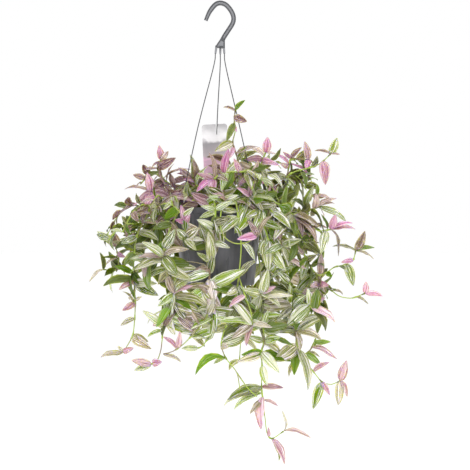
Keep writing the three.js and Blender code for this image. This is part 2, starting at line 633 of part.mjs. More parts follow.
    leaves: [
      [5, [78, -14, -220], 14, 'pink'], [4.5, [44, -18, -235], 8, 'mauve'], [5, [93, -10, -249], 4, 'mauve'],
      [3, [79, -24, -303], 11, 'white'], [3, [103, -22, -306], 9, 'white'], [4, [40, -20, -258], 12, 'pink'],
      [3.5, [98, -20, -268], 8, 'pink'], [2, [96, -24, -314], 9, 'mauve'], [4, [88, -26, -262], 8, 'pink'],
      [1.6, [60, -30, -322], 9, 'green'],
    ],
  },
  {
    stem: 'stem_right_crest',
    path: [[40, 14, -348], [66, 18, -318], [95, 22, -302], [110, 22, -288], [114, 20, -270], [118, 18, -254],
      [132, 16, -256], [147, 14, -257]],
    leaves: [
      [7, [140, 6, -226], 11, 'pink'], [7, [143, 4, -274], 10, 'pink'], [5, [136, 10, -236], 8, 'mauve'],
      [5, [104, 8, -244], 6, 'pink'], [4.2, [92, 8, -248], 6, 'pink'], [4, [98, 6, -262], 8, 'pink'],
      [3, [126, 6, -298], 16, 'mauve'], [2.6, [147, 10, -301], 7, 'mauve'], [7, [155, 12, -262], 4, 'mauve'],
      [3, [84, 8, -276], 10, 'green'], [4.4, [147, 6, -284], 5, 'pink'],
    ],
  },
  {
    stem: 'stem_right_tip',
    path: [[44, 2, -348], [70, 4, -320], [98, 6, -298], [118, 4, -280], [140, 2, -273], [160, 0, -267],
      [171, -2, -260], [183, -4, -248]],
    leaves: [
      [7, [194, -10, -221], 13, 'white'], [7, [156, -8, -243], 5, 'mauve'], [7, [199, -6, -249], 4, 'mauve'],
      [6, [174, -14, -300], 16, 'pink'], [2.5, [128, -12, -312], 10, 'green'], [1.5, [104, -10, -330], 14, 'green'],
      [2.5, [84, -8, -282], 8, 'green'],
    ],
  },
  {
    stem: 'stem_right_front',
    path: [[46, -30, -348], [60, -44, -325], [90, -56, -330], [108, -62, -340], [119, -66, -350]],
    leaves: [
      [4, [87, -92, -391], 17, 'green'], [4, [156, -84, -397], 10, 'mauve'], [4, [165, -80, -372], 9, 'mauve'],
      [4, [134, -86, -387], 9, 'mauve'], [3.4, [95, -84, -334], 20, 'vivid'], [2, [72, -72, -352], 12, 'green'],
      [3, [110, -58, -300], 8, 'vivid'], [3.5, [126, -60, -318], 8, 'green'],
    ],
  },
  {
    stem: 'stem_right_front',
    path: [[119, -66, -350], [140, -62, -343], [160, -58, -337], [158, -54, -318]],
    leaves: [
      [2, [206, -66, -362], 10, 'green'], [2, [191, -62, -323], 6, 'mauve'], [2.2, [188, -50, -332], 5, 'mauve'],
      [1, [153, -68, -302], 10, 'white'], [3, [158, -54, -299], 6, 'vivid'], [3, [181, -58, -326], 5, 'mauve'],
      [1.5, [150, -40, -352], 8, 'mauve'],
    ],
  },
  {
    stem: 'stem_right_front',
    path: [[119, -66, -350], [138, -72, -362], [160, -76, -376], [180, -76, -374]],
    leaves: [
      [3, [187, -84, -349], 12, 'pink'], [3, [216, -80, -364], 6, 'pink'], [3, [221, -72, -374], 6, 'pink'],
      [2.6, [163, -90, -414], 14, 'white'], [3, [192, -78, -418], 5, 'mauve'],
    ],
  },
  {
    stem: 'stem_right_far',
    path: [[54, -8, -348], [73, -14, -324], [100, -20, -335], [122, -26, -370], [138, -30, -415], [158, -32, -448],
      [175, -33, -445], [188, -34, -436], [205, -35, -432], [219, -35, -424], [223, -36, -409]],
    leaves: [
      [10, [238, -42, -376], 13, 'mauve'], [10, [254, -40, -404], 7, 'vivid'], [10, [184, -40, -402], 5, 'green'],
      [10, [254, -30, -424], 4, 'mauve'], [8.2, [219, -44, -467], 14, 'green'], [9, [198, -46, -428], 8, 'pink'],
      [6, [184, -42, -452], 8, 'vivid'], [4.3, [132, -48, -457], 12, 'green'], [4, [118, -46, -400], 8, 'mauve'],
      [5.4, [166, -44, -412], 11, 'mauve'], [3, [104, -46, -352], 12, 'green'],
      [3.4, [152, -46, -394], 12, 'green'], [5, [124, -46, -484], 12, 'green'], [2.4, [132, -34, -344], 10, 'green'],
    ],
  },
  {
    stem: 'stem_right_far',
    path: [[158, -32, -448], [162, -36, -464], [160, -38, -486], [154, -38, -500]],
    leaves: [
      [1, [147, -50, -468], 10, 'pink'], [1, [178, -50, -466], 10, 'pink'], [1.8, [149, -48, -513], 9, 'vivid'],
      [2.4, [158, -50, -509], 10, 'pink'], [2.6, [173, -44, -486], 7, 'pink'],
    ],
  },
  {
    stem: 'stem_right_low',
    path: [[54, 8, -348], [73, 12, -324], [98, 16, -345], [118, 14, -390], [134, 8, -430], [150, 2, -455],
      [168, -2, -464], [184, -6, -475], [198, -9, -485], [218, -11, -488], [240, -12, -480]],
    leaves: [
      [10, [241, -16, -460], 10, 'pink'], [10, [269, -18, -485], 8, 'pink'], [9.3, [246, -8, -498], 4, 'mauve'],
      [7, [204, -8, -483], 4, 'mauve', 0.12], [7, [172, -14, -461], 6, 'mauve'], [5, [142, -10, -490], 12, 'green'],
      [4, [160, -6, -416], 12, 'green'], [3, [98, -8, -412], 12, 'green'], [3.6, [148, 10, -376], 10, 'green'],
      [4.6, [112, -8, -456], 12, 'green'],
    ],
  },
  {
    stem: 'stem_trail_front',
    path: [[32, -42, -348], [48, -62, -324], [62, -80, -345], [78, -88, -392], [74, -90, -440], [66, -92, -478],
      [69, -90, -515], [71, -88, -555], [67, -86, -572], [68, -85, -600], [67, -84, -630], [70, -84, -655],
      [73, -83, -682], [76, -82, -705], [84, -82, -714], [103, -80, -702]],
    leaves: [
      [3, [78, -104, -442], 18, 'green'], [3.2, [106, -102, -441], 18, 'green'], [4.6, [126, -104, -432], 10, 'white'],
      [5, [77, -110, -437], 15, 'green'], [5, [36, -108, -470], 14, 'green'], [5, [98, -110, -501], 10, 'white'],
      [5.3, [118, -108, -481], 10, 'green'], [4.9, [90, -106, -466], 9, 'pink'], [8, [34, -98, -577], 12, 'vivid'],
      [8, [96, -100, -606], 15, 'green'], [8.2, [27, -96, -588], 13, 'mauve'], [8.8, [76, -98, -627], 12, 'green'],
      [8.4, [88, -94, -588], 9, 'vivid'], [10, [12, -94, -652], 10, 'green'], [10.2, [5, -90, -663], 9, 'white'],
      [10.4, [22, -98, -667], 8, 'green'], [10.6, [66, -98, -698], 14, 'pink'], [10.8, [48, -94, -673], 8, 'mauve'],
      [10, [103, -88, -631], 9, 'pink'], [10.8, [94, -90, -661], 5, 'pink'], [14, [104, -90, -755], 10, 'pink'],
      [14, [95, -84, -751], 6, 'green'], [13.5, [78, -88, -694], 5, 'pink'], [15, [100, -84, -667], 4, 'mauve'],
      [15, [148, -86, -713], 5, 'pink'], [6, [100, -100, -512], 9, 'green'],
      [2, [40, -104, -354], 12, 'green'], [2.4, [100, -104, -374], 13, 'green'], [1.6, [90, -92, -336], 12, 'green'],
      [7, [98, -98, -548], 12, 'green'], [7, [44, -98, -546], 10, 'white'],
    ],
  },
  {
    stem: 'stem_trail_right',
    path: [[42, -42, -348], [56, -52, -326], [84, -76, -345], [100, -82, -400], [112, -80, -460], [118, -76, -500],
      [123, -72, -537], [126, -70, -568], [138, -68, -588], [152, -66, -606], [166, -66, -623], [181, -66, -627],
      [196, -66, -621]],
    leaves: [
      [4, [142, -92, -419], 9, 'vivid'], [6, [174, -84, -516], 13, 'white'], [5.6, [156, -82, -513], 10, 'white'],
      [6, [165, -82, -554], 12, 'mauve'], [6.1, [128, -88, -572], 8, 'mauve'], [7, [120, -84, -611], 14, 'vivid'],
      [7, [142, -82, -636], 13, 'green'], [7.2, [138, -78, -616], 9, 'white'], [6.8, [87, -88, -588], 22, 'green'],
      [10, [151, -74, -667], 14, 'green'], [10, [179, -74, -644], 8, 'pink'], [12, [206, -72, -587], 14, 'pink'],
      [12, [192, -76, -661], 14, 'mauve'], [12, [207, -70, -648], 7, 'pink'], [7.5, [112, -80, -615], 7, 'mauve'],
      [5, [140, -90, -480], 12, 'green'], [5, [92, -90, -520], 12, 'green'], [4, [92, -100, -440], 12, 'green'],
      [2, [114, -98, -374], 13, 'green'], [3, [132, -96, -390], 12, 'green'], [3, [70, -108, -414], 12, 'green'],
      [9, [178, -76, -590], 8, 'pink'],
    ],
  },
  {
    stem: 'stem_trail_right',
    path: [[126, -70, -568], [138, -58, -578], [147, -54, -572], [154, -52, -559]],
    leaves: [
      [3, [181, -58, -558], 8, 'vivid'], [2.4, [191, -60, -586], 7, 'pink'], [1.6, [163, -56, -583], 4, 'mauve'],
      [1.4, [164, -64, -595], 10, 'vivid'],
    ],
  },
  {
    stem: 'stem_trail_middle',
    path: [[18, -44, -348], [24, -70, -325], [28, -86, -345], [34, -91, -400], [30, -94, -450], [22, -96, -500],
      [6, -98, -540], [2, -96, -562], [9, -94, -582], [27, -92, -606], [32, -92, -634]],
    leaves: [
      [8, [-40, -104, -609], 11, 'vivid', -0.2], [8, [-11, -92, -592], 6, 'green'], [5.5, [-8, -106, -515], 9, 'white'],
      [7, [14, -110, -564], 11, 'mauve'], [4, [60, -108, -424], 10, 'green'], [4.4, [10, -110, -480], 12, 'green'],
    ],
  },
  {
    stem: 'stem_trail_middle',
    path: [[27, -92, -606], [44, -94, -630], [60, -98, -645]],
    leaves: [],
  },
  {
    stem: 'stem_trail_middle',
    path: [[30, -94, -450], [40, -104, -480], [50, -106, -508], [52, -106, -528]],
    leaves: [
      [3, [-4, -114, -523], 10, 'white'], [3, [42, -112, -562], 9, 'pink'], [3, [18, -118, -550], 12, 'mauve'],
      [3, [14, -108, -488], 13, 'green'], [3, [84, -112, -532], 8, 'mauve'], [1, [14, -112, -500], 9, 'pink'],
    ],
  },
];

// Shoots placed by rule, turned about the pot's axis: azimuth, reach, drop, leaves, leaf length, mood
const trailingShoots = [
  [30, 122, 96, 5, 42, 'green'], [42, 104, 196, 7, 44, 'green'], [54, 128, 60, 4, 38, 'mauve'],
  [66, 108, 250, 8, 44, 'green'], [79, 124, 120, 5, 42, 'white'], [106, 106, 210, 7, 42, 'green'],
  [118, 128, 84, 5, 40, 'pink'], [130, 108, 160, 6, 44, 'green'],
];
const crownShoots = [
  [217, 30, 16, 48, 4, 40, 'green'], [268, 24, 22, 56, 4, 38, 'green'], [45, 24, 8, 84, 5, 40, 'mauve'],
  [122, 30, 18, 66, 4, 38, 'green'], [32, 46, 22, 70, 4, 38, 'green'], [100, 52, 26, 58, 4, 38, 'green'],
];

function around(azimuth, radius, height) {
  const turn = degrees(azimuth);
  return [POT_X + radius * Math.cos(turn), radius * Math.sin(turn), SOIL_Z + height];
}

function trailingPath(azimuth, reach, drop) {
  return [
    around(azimuth, 52, 0), around(azimuth + 1, 70, 24), around(azimuth + 3, 0.5 * reach + 40, 20),
    around(azimuth + 5, 0.9 * reach, -0.2 * drop), around(azimuth + 2, reach, -0.6 * drop),
    around(azimuth + 6, reach + 8, -drop),
  ];
}

function crownPath(azimuth, radius, lean, height) {
  return [
    around(azimuth, radius, 0), around(azimuth + 2, radius + 0.2 * lean, 0.4 * height),
    around(azimuth - 2, radius + 0.6 * lean, 0.75 * height), around(azimuth + 4, radius + lean, height),
  ];
}

trailingShoots.forEach(([azimuth, reach, drop, count, length, mood], index) => {
  const path = trailingPath(azimuth, reach, drop);
  shoots.push({ stem: `stem_back_${index + 1}`, path, leaves: [], rule: { count, length, mood } });
});
crownShoots.forEach(([azimuth, radius, lean, height, count, length, mood], index) => {
  const path = crownPath(azimuth, radius, lean, height);
  shoots.push({ stem: `stem_crown_${index + 1}`, path, leaves: [], rule: { count, length, mood } });
});

// A leaf placed by hand turns its face to the viewer as far as the width that they see allows
function handLeaves(shoot, curve, draws) {
  return shoot.leaves.map(([place, tip, flatWidth, mood, sway = HAND_SWAY * (draws() - 0.5)]) => {
    const base = curve.rootAt(place);
    const tips = DEPTH_TRIES.map((depth) => vector(tip[0], tip[1] + depth, tip[2]));
    const seen = flatWidth * LEAF_FULLNESS;
    const width = Math.max(seen, LEAF_SLIMNESS * base.distanceTo(tips[0]));
    const roll = Math.acos(Math.min(1, seen / width));
    return { base, tips, width, roll, toward: vector(0, -1, 0), sway, mood };
  });
}

// A leaf placed by rule leaves its stem on alternate sides and turns its face up and outward
function ruleLeaves(shoot, curve, draws) {
  const { count, length, mood } = shoot.rule;
  return Array.from({ length: count }, (_, index) => {
    const place = curve.end * (BARE_SHARE + ((1 - BARE_SHARE) * (index + 1)) / count);
    const base = curve.rootAt(place);
    const along = curve.alongAt(place);
    const out = vector(base.x - POT_X, base.y, 0).normalize();
    const first = out.clone().addScaledVector(along, -out.dot(along)).normalize();
    const second = along.clone().cross(first);
    const swing = degrees(90 + 180 * index + SWING_SPREAD * (draws() - 0.5));
    const reach = length * (REACH_LEAST + REACH_SPREAD * draws());
    const lift = degrees(LIFT_LEAST + LIFT_SPREAD * draws());
    const roll = degrees(ROLL_SPREAD * (draws() - 0.5));
    const tips = TURN_TRIES.map((turn) => {
      const angle = swing + degrees(turn);
      const heading = along.clone().multiplyScalar(Math.cos(lift))
        .addScaledVector(first, Math.sin(lift) * (Math.cos(angle) + OUTWARD_LEAN))
        .addScaledVector(second, Math.sin(lift) * Math.sin(angle))
        .add(vector(0, 0, -DROOP)).normalize();
      return base.clone().addScaledVector(heading, reach);
    });
    const toward = out.clone().multiplyScalar(0.7).add(vector(0, 0, 0.8));
    return { base, tips, width: RULE_SLIMNESS * reach, roll, signed: true, toward, sway: RULE_SWAY, mood };
  });
}

// A stem is a four-sided tube, upright where it stands in its hole, and thinner toward its tip
function stemSolid(curve, rooted) {
  const places = [];
  const scales = [];
  const directions = {};
  if (rooted) {
    places.push(curve.at(0).add(vector(0, 0, 0.5 - HOLE_DEPTH)));
    scales.push(1);
    directions[0] = vector(0, 0, 1);
    directions[1] = vector(0, 0, 1);
  }
  for (let joint = 0; joint <= curve.end; joint += 1) {
    places.push(curve.at(joint));
    scales.push(1 - ((1 - STEM_TIP_R / STEM_R) * joint) / curve.end);
  }
  const start = rooted ? 1 : BRANCH_SHARE;
  const thinning = scales.map((scale) => scale * start);
  return solidOf(sweep(polygon(STEM_R, STEM_SIDES), places, vector(0, 1, 0.1), directions, thinning));
}

const touches = (box, other) => box.min.every((low, axis) => low <= other.max[axis])
  && box.max.every((high, axis) => high >= other.min[axis]);

// True when the solid crosses none of the others
function clears(solid, others) {
  const box = solid.boundingBox();
  return others.every((other) => !touches(box, other.box) || solid.intersect(other.solid).isEmpty());
}

const withBox = (solid) => ({ solid, box: solid.boundingBox() });

// A shoot that starts at the soil stands in it; any other starts on its parent's axis
const isRooted = (shoot) => Math.abs(shoot.path[0][2] - SOIL_Z) < 0.01;

// Each leaf takes its first place that clears everything else, or is left out
function growPlant(fixedSolids) {
  const stems = new Map();
  const rows = shoots.map((shoot, index) => {
    const curve = jointedPath(shoot.path);
    const draws = makeDraws(index + 11);
    const stem = withBox(stemSolid(curve, isRooted(shoot)));
    if (!stems.has(shoot.stem)) {
      stems.set(shoot.stem, { name: shoot.stem, parts: [], moods: [] });
    }
    stems.get(shoot.stem).parts.push(stem);
    const leaves = shoot.rule ? ruleLeaves(shoot, curve, draws) : handLeaves(shoot, curve, draws);
    return { owner: stems.get(shoot.stem), leaves };
  });
  const fixed = fixedSolids.map(withBox);
  let placed = 0;
  let leftOut = 0;
  for (const { owner, leaves } of rows) {
    for (const leaf of leaves) {
      const strangers = [...stems.values()].filter((stem) => stem !== owner).flatMap((stem) => stem.parts);
      const tip = leaf.tips.find((candidate) => {
        const trial = { ...leaf, tip: candidate };
        return clears(leafSolid(trial, LEAF_CLEARANCE), [...fixed, ...strangers])
          && clears(leafSolid(trial, LEAF_CLEARANCE, true), owner.parts);
      });
      if (tip) {
        owner.parts.push(withBox(leafSolid({ ...leaf, tip })));
        owner.moods.push(leaf.mood);
        placed += 1;
      } else {
        leftOut += 1;
      }
    }
  }
  return { stems: [...stems.values()], placed, leftOut };
}

// The whole object
const group = new THREE.Group();
group.name = 'potted_tradescantia';

function addMesh(name, solid, colour, roughness) {
  const material = new THREE.MeshStandardMaterial({ color: colour, roughness, metalness: 0, flatShading: true });
  const mesh = new THREE.Mesh(geometryOf(solid), material);
  mesh.name = name;
  group.add(mesh);
}

const roots = shoots.filter(isRooted).map((shoot) => shoot.path[0]);
const fixed = {
  pot: makePot(),
  soil: makeSoil(roots),
  hanger_hook: makeHook(),
  hanger_strand_left: makeStrand('left'),
  hanger_strand_right: makeStrand('right'),
  hanger_strand_rear: makeStrand('rear'),
  plant_label: makeLabel(),
};
addMesh('pot', fixed.pot, COLOURS.pot, 0.45);
addMesh('soil', fixed.soil, COLOURS.soil, 0.95);
addMesh('hanger_hook', fixed.hanger_hook, COLOURS.hook, 0.5);
for (const side of Object.keys(strandPaths)) {
  addMesh(`hanger_strand_${side}`, fixed[`hanger_strand_${side}`], COLOURS.strand, 0.5);
}
addMesh('plant_label', fixed.plant_label, COLOURS.label, 0.4);

// A stem takes the colour that most of its leaves have
function mainMood(moods) {
  const count = (mood) => moods.filter((other) => other === mood).length;
  return moods.reduce((most, mood) => (count(mood) > count(most) ? mood : most), 'green');
}

const plant = growPlant(Object.values(fixed));
for (const stem of plant.stems) {
  const whole = stem.parts.slice(1).reduce((sum, part) => sum.add(part.solid), stem.parts[0].solid);
  addMesh(stem.name, whole, COLOURS[mainMood(stem.moods)], 0.5);
}
group.userData = { leavesPlaced: plant.placed, leavesLeftOut: plant.leftOut };

export default group;
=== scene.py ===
# %% [markdown]
# A tradescantia in a hanging pot. The plant's leaves are thin blades with lengthwise stripes, and more
# than a thousand of them make the whole look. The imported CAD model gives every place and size: here each
# of its solids is replaced by finer pieces that keep its form.

import math

import bpy
import numpy as np
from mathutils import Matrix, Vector


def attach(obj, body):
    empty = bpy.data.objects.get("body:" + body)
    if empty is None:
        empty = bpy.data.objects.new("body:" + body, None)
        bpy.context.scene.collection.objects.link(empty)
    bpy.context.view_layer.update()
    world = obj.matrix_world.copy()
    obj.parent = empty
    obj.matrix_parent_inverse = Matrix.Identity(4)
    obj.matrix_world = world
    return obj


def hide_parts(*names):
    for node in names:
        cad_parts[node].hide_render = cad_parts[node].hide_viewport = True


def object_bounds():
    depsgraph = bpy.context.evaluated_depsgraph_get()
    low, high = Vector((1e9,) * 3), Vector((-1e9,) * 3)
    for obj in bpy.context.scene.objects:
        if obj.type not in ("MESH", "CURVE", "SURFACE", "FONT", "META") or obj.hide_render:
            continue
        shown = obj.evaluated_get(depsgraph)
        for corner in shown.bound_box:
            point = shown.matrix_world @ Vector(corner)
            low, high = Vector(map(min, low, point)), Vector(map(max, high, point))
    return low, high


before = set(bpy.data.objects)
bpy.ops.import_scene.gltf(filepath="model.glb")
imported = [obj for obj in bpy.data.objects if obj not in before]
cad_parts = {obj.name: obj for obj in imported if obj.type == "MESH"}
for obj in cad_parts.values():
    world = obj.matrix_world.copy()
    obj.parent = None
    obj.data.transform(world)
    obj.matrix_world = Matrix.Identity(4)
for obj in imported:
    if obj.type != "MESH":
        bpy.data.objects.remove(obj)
cad_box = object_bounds()
print("frame:", len(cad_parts), "nodes")

# %% [markdown]
# Everything is worked out in millimetres, as a maker would, and turned to metres when a mesh is filled.
# A shape is an array of rings: each ring has the same number of points, and neighbours are joined by
# quads. A pot, a strand, a stem and a leaf are all made that way, so one function makes the faces.

# %% Sizes that the CAD model uses too
MM = 0.001
POT_X = -4
RIM_Z = -338
RIM_R = 75
POT_HEIGHT = 128
BASE_R = 60
WALL = 1.7
BAND_HEIGHT = 9.5
BAND_STEP = 2.6
FLOOR = 2.4
DRAIN_R = 4
DRAIN_PITCH_R = 36
DRAIN_COUNT = 4
SOIL_Z = -348
SOIL_GAP = 0.4
STEM_R = 1.4
STEM_TIP_R = 0.8
HOLE_DEPTH = 12


def unit(vectors):
    """Each vector divided by its own length."""
    return vectors / np.linalg.norm(vectors, axis=-1, keepdims=True)


def dot(a, b):
    """Dot product along the last axis, which is kept."""
    return np.sum(a * b, axis=-1, keepdims=True)


# %% Faces between rings
def ring_quads(rows, sides):
    """Quads that join each ring of points to the next."""
    here = np.arange((rows - 1) * sides).reshape(-1, sides)
    beside = np.roll(here, -1, axis=1)
    return np.stack([here, beside, beside + sides, here + sides], axis=-1).reshape(-1, 4)


def ring_faces(shapes, rows, sides):
    """Quads and end fans of shapes, each with rows * sides ring points and then its two end points."""
    first = np.arange(shapes)[:, None, None] * (rows * sides + 2)
    side = np.arange(sides)
    after = np.roll(side, -1)
    end = np.full(sides, rows * sides)
    last_row = (rows - 1) * sides
    lower = first + np.stack([end, after, side], axis=-1)
    upper = first + np.stack([end + 1, last_row + side, last_row + after], axis=-1)
    quads = first + ring_quads(rows, sides)
    return quads.reshape(-1, 4), np.concatenate([lower, upper]).reshape(-1, 3)


def patch(rings, ends, uv, slots=0, draw=(0, 0, 0), mood=(0, 0, 0), margins=()):
    """Rings (shapes, rows, sides, 3) with their two end points each, ready to be put in a mesh.

    uv holds 2 numbers for each point of a shape's rings, slots a material for each side, and draw and
    mood 3 numbers for each shape, or the same 3 for all. The edges along the sides named in margins stay
    sharp, as at a leaf's margin.
    """
    shapes, rows, sides, _ = rings.shape
    quads, fans = ring_faces(shapes, rows, sides)
    points = np.concatenate([rings.reshape(shapes, -1, 3), ends], axis=1)
    uv = np.concatenate([uv.reshape(-1, 2), uv[[0, -1]].mean(axis=1)])
    count = points.shape[1]
    sharp = np.zeros((shapes, count), dtype=bool)
    if margins:
        sharp[:, -2:] = True
        for side in margins:
            sharp[:, side:-2:sides] = True
    return {
        "points": points.reshape(-1, 3), "quads": quads, "fans": fans, "uv": np.tile(uv, (shapes, 1)),
        "slots": np.tile(np.broadcast_to(slots, sides), shapes * (rows + 1)), "sharp": sharp.ravel(),
        "draw": np.repeat(np.broadcast_to(draw, (shapes, 3)), count, axis=0),
        "mood": np.repeat(np.broadcast_to(mood, (shapes, 3)), count, axis=0),
    }


# %% Objects in the scene
def in_scene(name, data):
    """A new object with this data, in the scene."""
    made = bpy.data.objects.new(name, data)
    bpy.context.scene.collection.objects.link(made)
    return made


def on_root(name, mesh):
    """A piece with this mesh that rides on the root."""
    piece = in_scene(name, mesh)
    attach(piece, "root")
    return piece


# %% Fill a mesh
def make_piece(name, patches, materials):
    """One smooth mesh object from patches, riding on the root, with their UVs and leaf attributes."""
    def joined(key, kind):
        return np.concatenate([part[key] for part in patches]).astype(kind)

    faces = []
    start = 0
    for part in patches:
        faces += (part["quads"] + start).tolist() + (part["fans"] + start).tolist()
        start += len(part["points"])
    mesh = bpy.data.meshes.new(name)
    mesh.from_pydata((joined("points", float) * MM).tolist(), [], faces)
    mesh.polygons.foreach_set("material_index", joined("slots", np.int32))
    mesh.shade_smooth()
    pairs = np.empty(len(mesh.edges) * 2, dtype=np.int32)
    mesh.edges.foreach_get("vertices", pairs)
    sharp = joined("sharp", bool)[pairs.reshape(-1, 2)].all(axis=1)
    mesh.attributes.new("sharp_edge", "BOOLEAN", "EDGE").data.foreach_set("value", sharp)
    corners = np.empty(len(mesh.loops), dtype=np.int32)
    mesh.loops.foreach_get("vertex_index", corners)
    mesh.uv_layers.new(name="surface").uv.foreach_set("vector", joined("uv", np.float32)[corners].ravel())
    for key in ("draw", "mood"):
        attribute = mesh.attributes.new("leaf_" + key, "FLOAT_VECTOR", "POINT")
        attribute.data.foreach_set("vector", joined(key, np.float32).ravel())
    for material in materials:
        mesh.materials.append(material)
    return on_root(name, mesh)


# %% Smooth curves through points
def smooth_curve(points, tension):
    """Cubic through the points: at each one it leaves along tension times the line between its neighbours.

    Returns a function from places, where 2.5 is half way from point 2 to point 3, to points.
    """
    points = np.asarray(points, dtype=float)
    padded = np.vstack([2 * points[0] - points[1], points, 2 * points[-1] - points[-2]])
    slopes = tension * (padded[2:] - padded[:-2])

    def at(places):
        places = np.clip(np.asarray(places, dtype=float), 0, len(points) - 1)
        joint = np.minimum(places.astype(int), len(points) - 2)
        t = (places - joint)[..., None]
        return (points[joint] * (2 * t**3 - 3 * t**2 + 1) + slopes[joint] * (t**3 - 2 * t**2 + t)
                + points[joint + 1] * (3 * t**2 - 2 * t**3) + slopes[joint + 1] * (t**3 - t**2))

    return at


def tangents(centres):
    """Unit direction at each point of a row of points, from its two neighbours."""
    return unit(np.gradient(centres, axis=-2))


def tube_rings(centres, radii, sides):
    """Circles of the given radii about centres, in the plane across the path."""
    along = tangents(centres)
    lean = np.array([0.31, 0.9, 0.3])
    second = unit(lean - dot(along, lean) * along)
    first = np.cross(second, along)
    angle = 2 * np.pi * np.arange(sides) / sides
    ring = np.cos(angle)[:, None] * first[..., None, :] + np.sin(angle)[:, None] * second[..., None, :]
    return centres[..., None, :] + ring * np.asarray(radii)[..., None, None]


def around_and_along(rows, sides, length=1.0):
    """UVs of a tube: u once round, v from 0 to length along it."""
    return np.stack(np.meshgrid(np.arange(sides) / sides, np.linspace(0, length, rows)), axis=-1)


def tube(centres, radii, sides, slot=0, mood=(0, 0, 0)):
    """One closed tube along a row of centres."""
    centres = np.asarray(centres, dtype=float)
    rings = tube_rings(centres, radii, sides)[None]
    ends = np.stack([centres[0], centres[-1]])[None]
    length = np.linalg.norm(np.diff(centres, axis=0), axis=1).sum() / 100
    return patch(rings, ends, around_and_along(len(centres), sides, length), slot, mood=mood)


# %% [markdown]
# A material starts from what the real thing is: polypropylene for the pot and the hanger, peat for the
# soil, living leaf for the rest. Patterns are drawn by noise and waves on the piece's own UV map, or on
# the object's coordinates in metres, so that their scale is a real size.

# %% Colours and nodes
def linear(colour):
    """An sRGB hex colour as the linear red, green, blue and alpha that shaders use."""
    channels = [int(colour[i:i + 2], 16) / 255 for i in (1, 3, 5)]
    return tuple(c / 12.92 if c <= 0.04045 else ((c + 0.055) / 1.055) ** 2.4 for c in channels) + (1.0,)


def add(tree, kind, inputs=None, **settings):
    """Adds a shader node of a kind, such as Math. Its settings are its own properties.

    Inputs map a socket, by its name or its number, to a value or to another node's output. In a Mix of
    colours, sockets 0, 6 and 7 are the share and the two colours, and output 2 is the result.
    """
    node = tree.nodes.new("ShaderNode" + kind)
    for name, value in settings.items():
        setattr(node, name, value)
    for socket, value in (inputs or {}).items():
        if isinstance(value, bpy.types.NodeSocket):
            tree.links.new(value, node.inputs[socket])
        else:
            node.inputs[socket].default_value = value
    return node


def new_material(name):
    """An empty material, and the tree for its nodes."""
    material = bpy.data.materials.new(name)
    material.use_nodes = True
    material.node_tree.nodes.clear()
    return material, material.node_tree


def finish_material(tree, colour, roughness, height, depth, **sockets):
    """A Principled surface with the colour and roughness, and a bump of height at depth metres."""
    bump = add(tree, "Bump", {"Height": height, "Distance": depth, "Strength": 0.6}).outputs[0]
    surface = add(tree, "BsdfPrincipled", {"Base Color": colour, "Roughness": roughness, "Normal": bump})
    for socket, value in sockets.items():
        surface.inputs[socket.replace("_", " ")].default_value = value
    add(tree, "OutputMaterial", {"Surface": surface.outputs[0]})


# %% [markdown]
# Moulded polypropylene shows a fine spark-eroded grain that breaks up its gloss, and, on a pot that has
# been watered and handled, a thin veil of dust and dried splashes. The grain is about 0.4 mm, which is too
# fine to show here, so it is drawn at 0.8 mm.

# %% Polypropylene, moulded
def moulded_polypropylene(name, colour, dust, dust_amount, gloss):
    """Coloured polypropylene: fine grain in the bump, patches of dust in the colour and roughness."""
    material, tree = new_material(name)
    place = add(tree, "TexCoord").outputs["Object"]
    patches = add(tree, "TexNoise", {"Vector": place, "Scale": 28.0, "Detail": 5.0}).outputs[0]
    grain = add(tree, "TexNoise", {"Vector": place, "Scale": 1250.0, "Detail": 1.0}).outputs[0]
    streaks = add(tree, "Mapping", {"Vector": place, "Scale": (90.0, 90.0, 9.0)}).outputs[0]
    flow = add(tree, "TexNoise", {"Vector": streaks, "Scale": 1.0, "Detail": 3.0}).outputs[0]
    veil = add(tree, "Math", {0: patches, 1: flow}, operation="MULTIPLY").outputs[0]
    amount = add(tree, "MapRange", {
        "Value": veil, "From Min": 0.18, "From Max": 0.42, "To Max": dust_amount,
    }).outputs[0]
    mixed = add(tree, "Mix", {0: amount, 6: linear(colour), 7: linear(dust)}, data_type="RGBA")
    roughness = add(tree, "MapRange", {
        "Value": flow, "From Min": 0.3, "From Max": 0.7, "To Min": gloss - 0.06, "To Max": gloss + 0.10,
    }).outputs[0]
    finish_material(tree, mixed.outputs[2], roughness, grain, 0.00012, IOR=1.49)
    return material


POT_PLASTIC = moulded_polypropylene("moulded polypropylene, anthracite", "#4a4a4f", "#88868e", 0.25, 0.28)
HANGER_PLASTIC = moulded_polypropylene("moulded polypropylene, grey", "#3c3d41", "#5e5e62", 0.25, 0.42)
RECESS_PLASTIC = moulded_polypropylene("moulded polypropylene, dusty recess", "#7e7f83", "#98989a", 0.5, 0.6)
STRAND_PLASTIC = moulded_polypropylene("drawn polypropylene, grey", "#2c2d30", "#4c4c50", 0.25, 0.42)
print("plastics:", [m.name for m in (POT_PLASTIC, HANGER_PLASTIC, RECESS_PLASTIC, STRAND_PLASTIC)])


# %% [markdown]
# Potting soil is milled peat with threads of coir: dark brown, matt, and lumpy at every size from a
# millimetre up. Its lumps are real displacement further down; the material adds the colours.

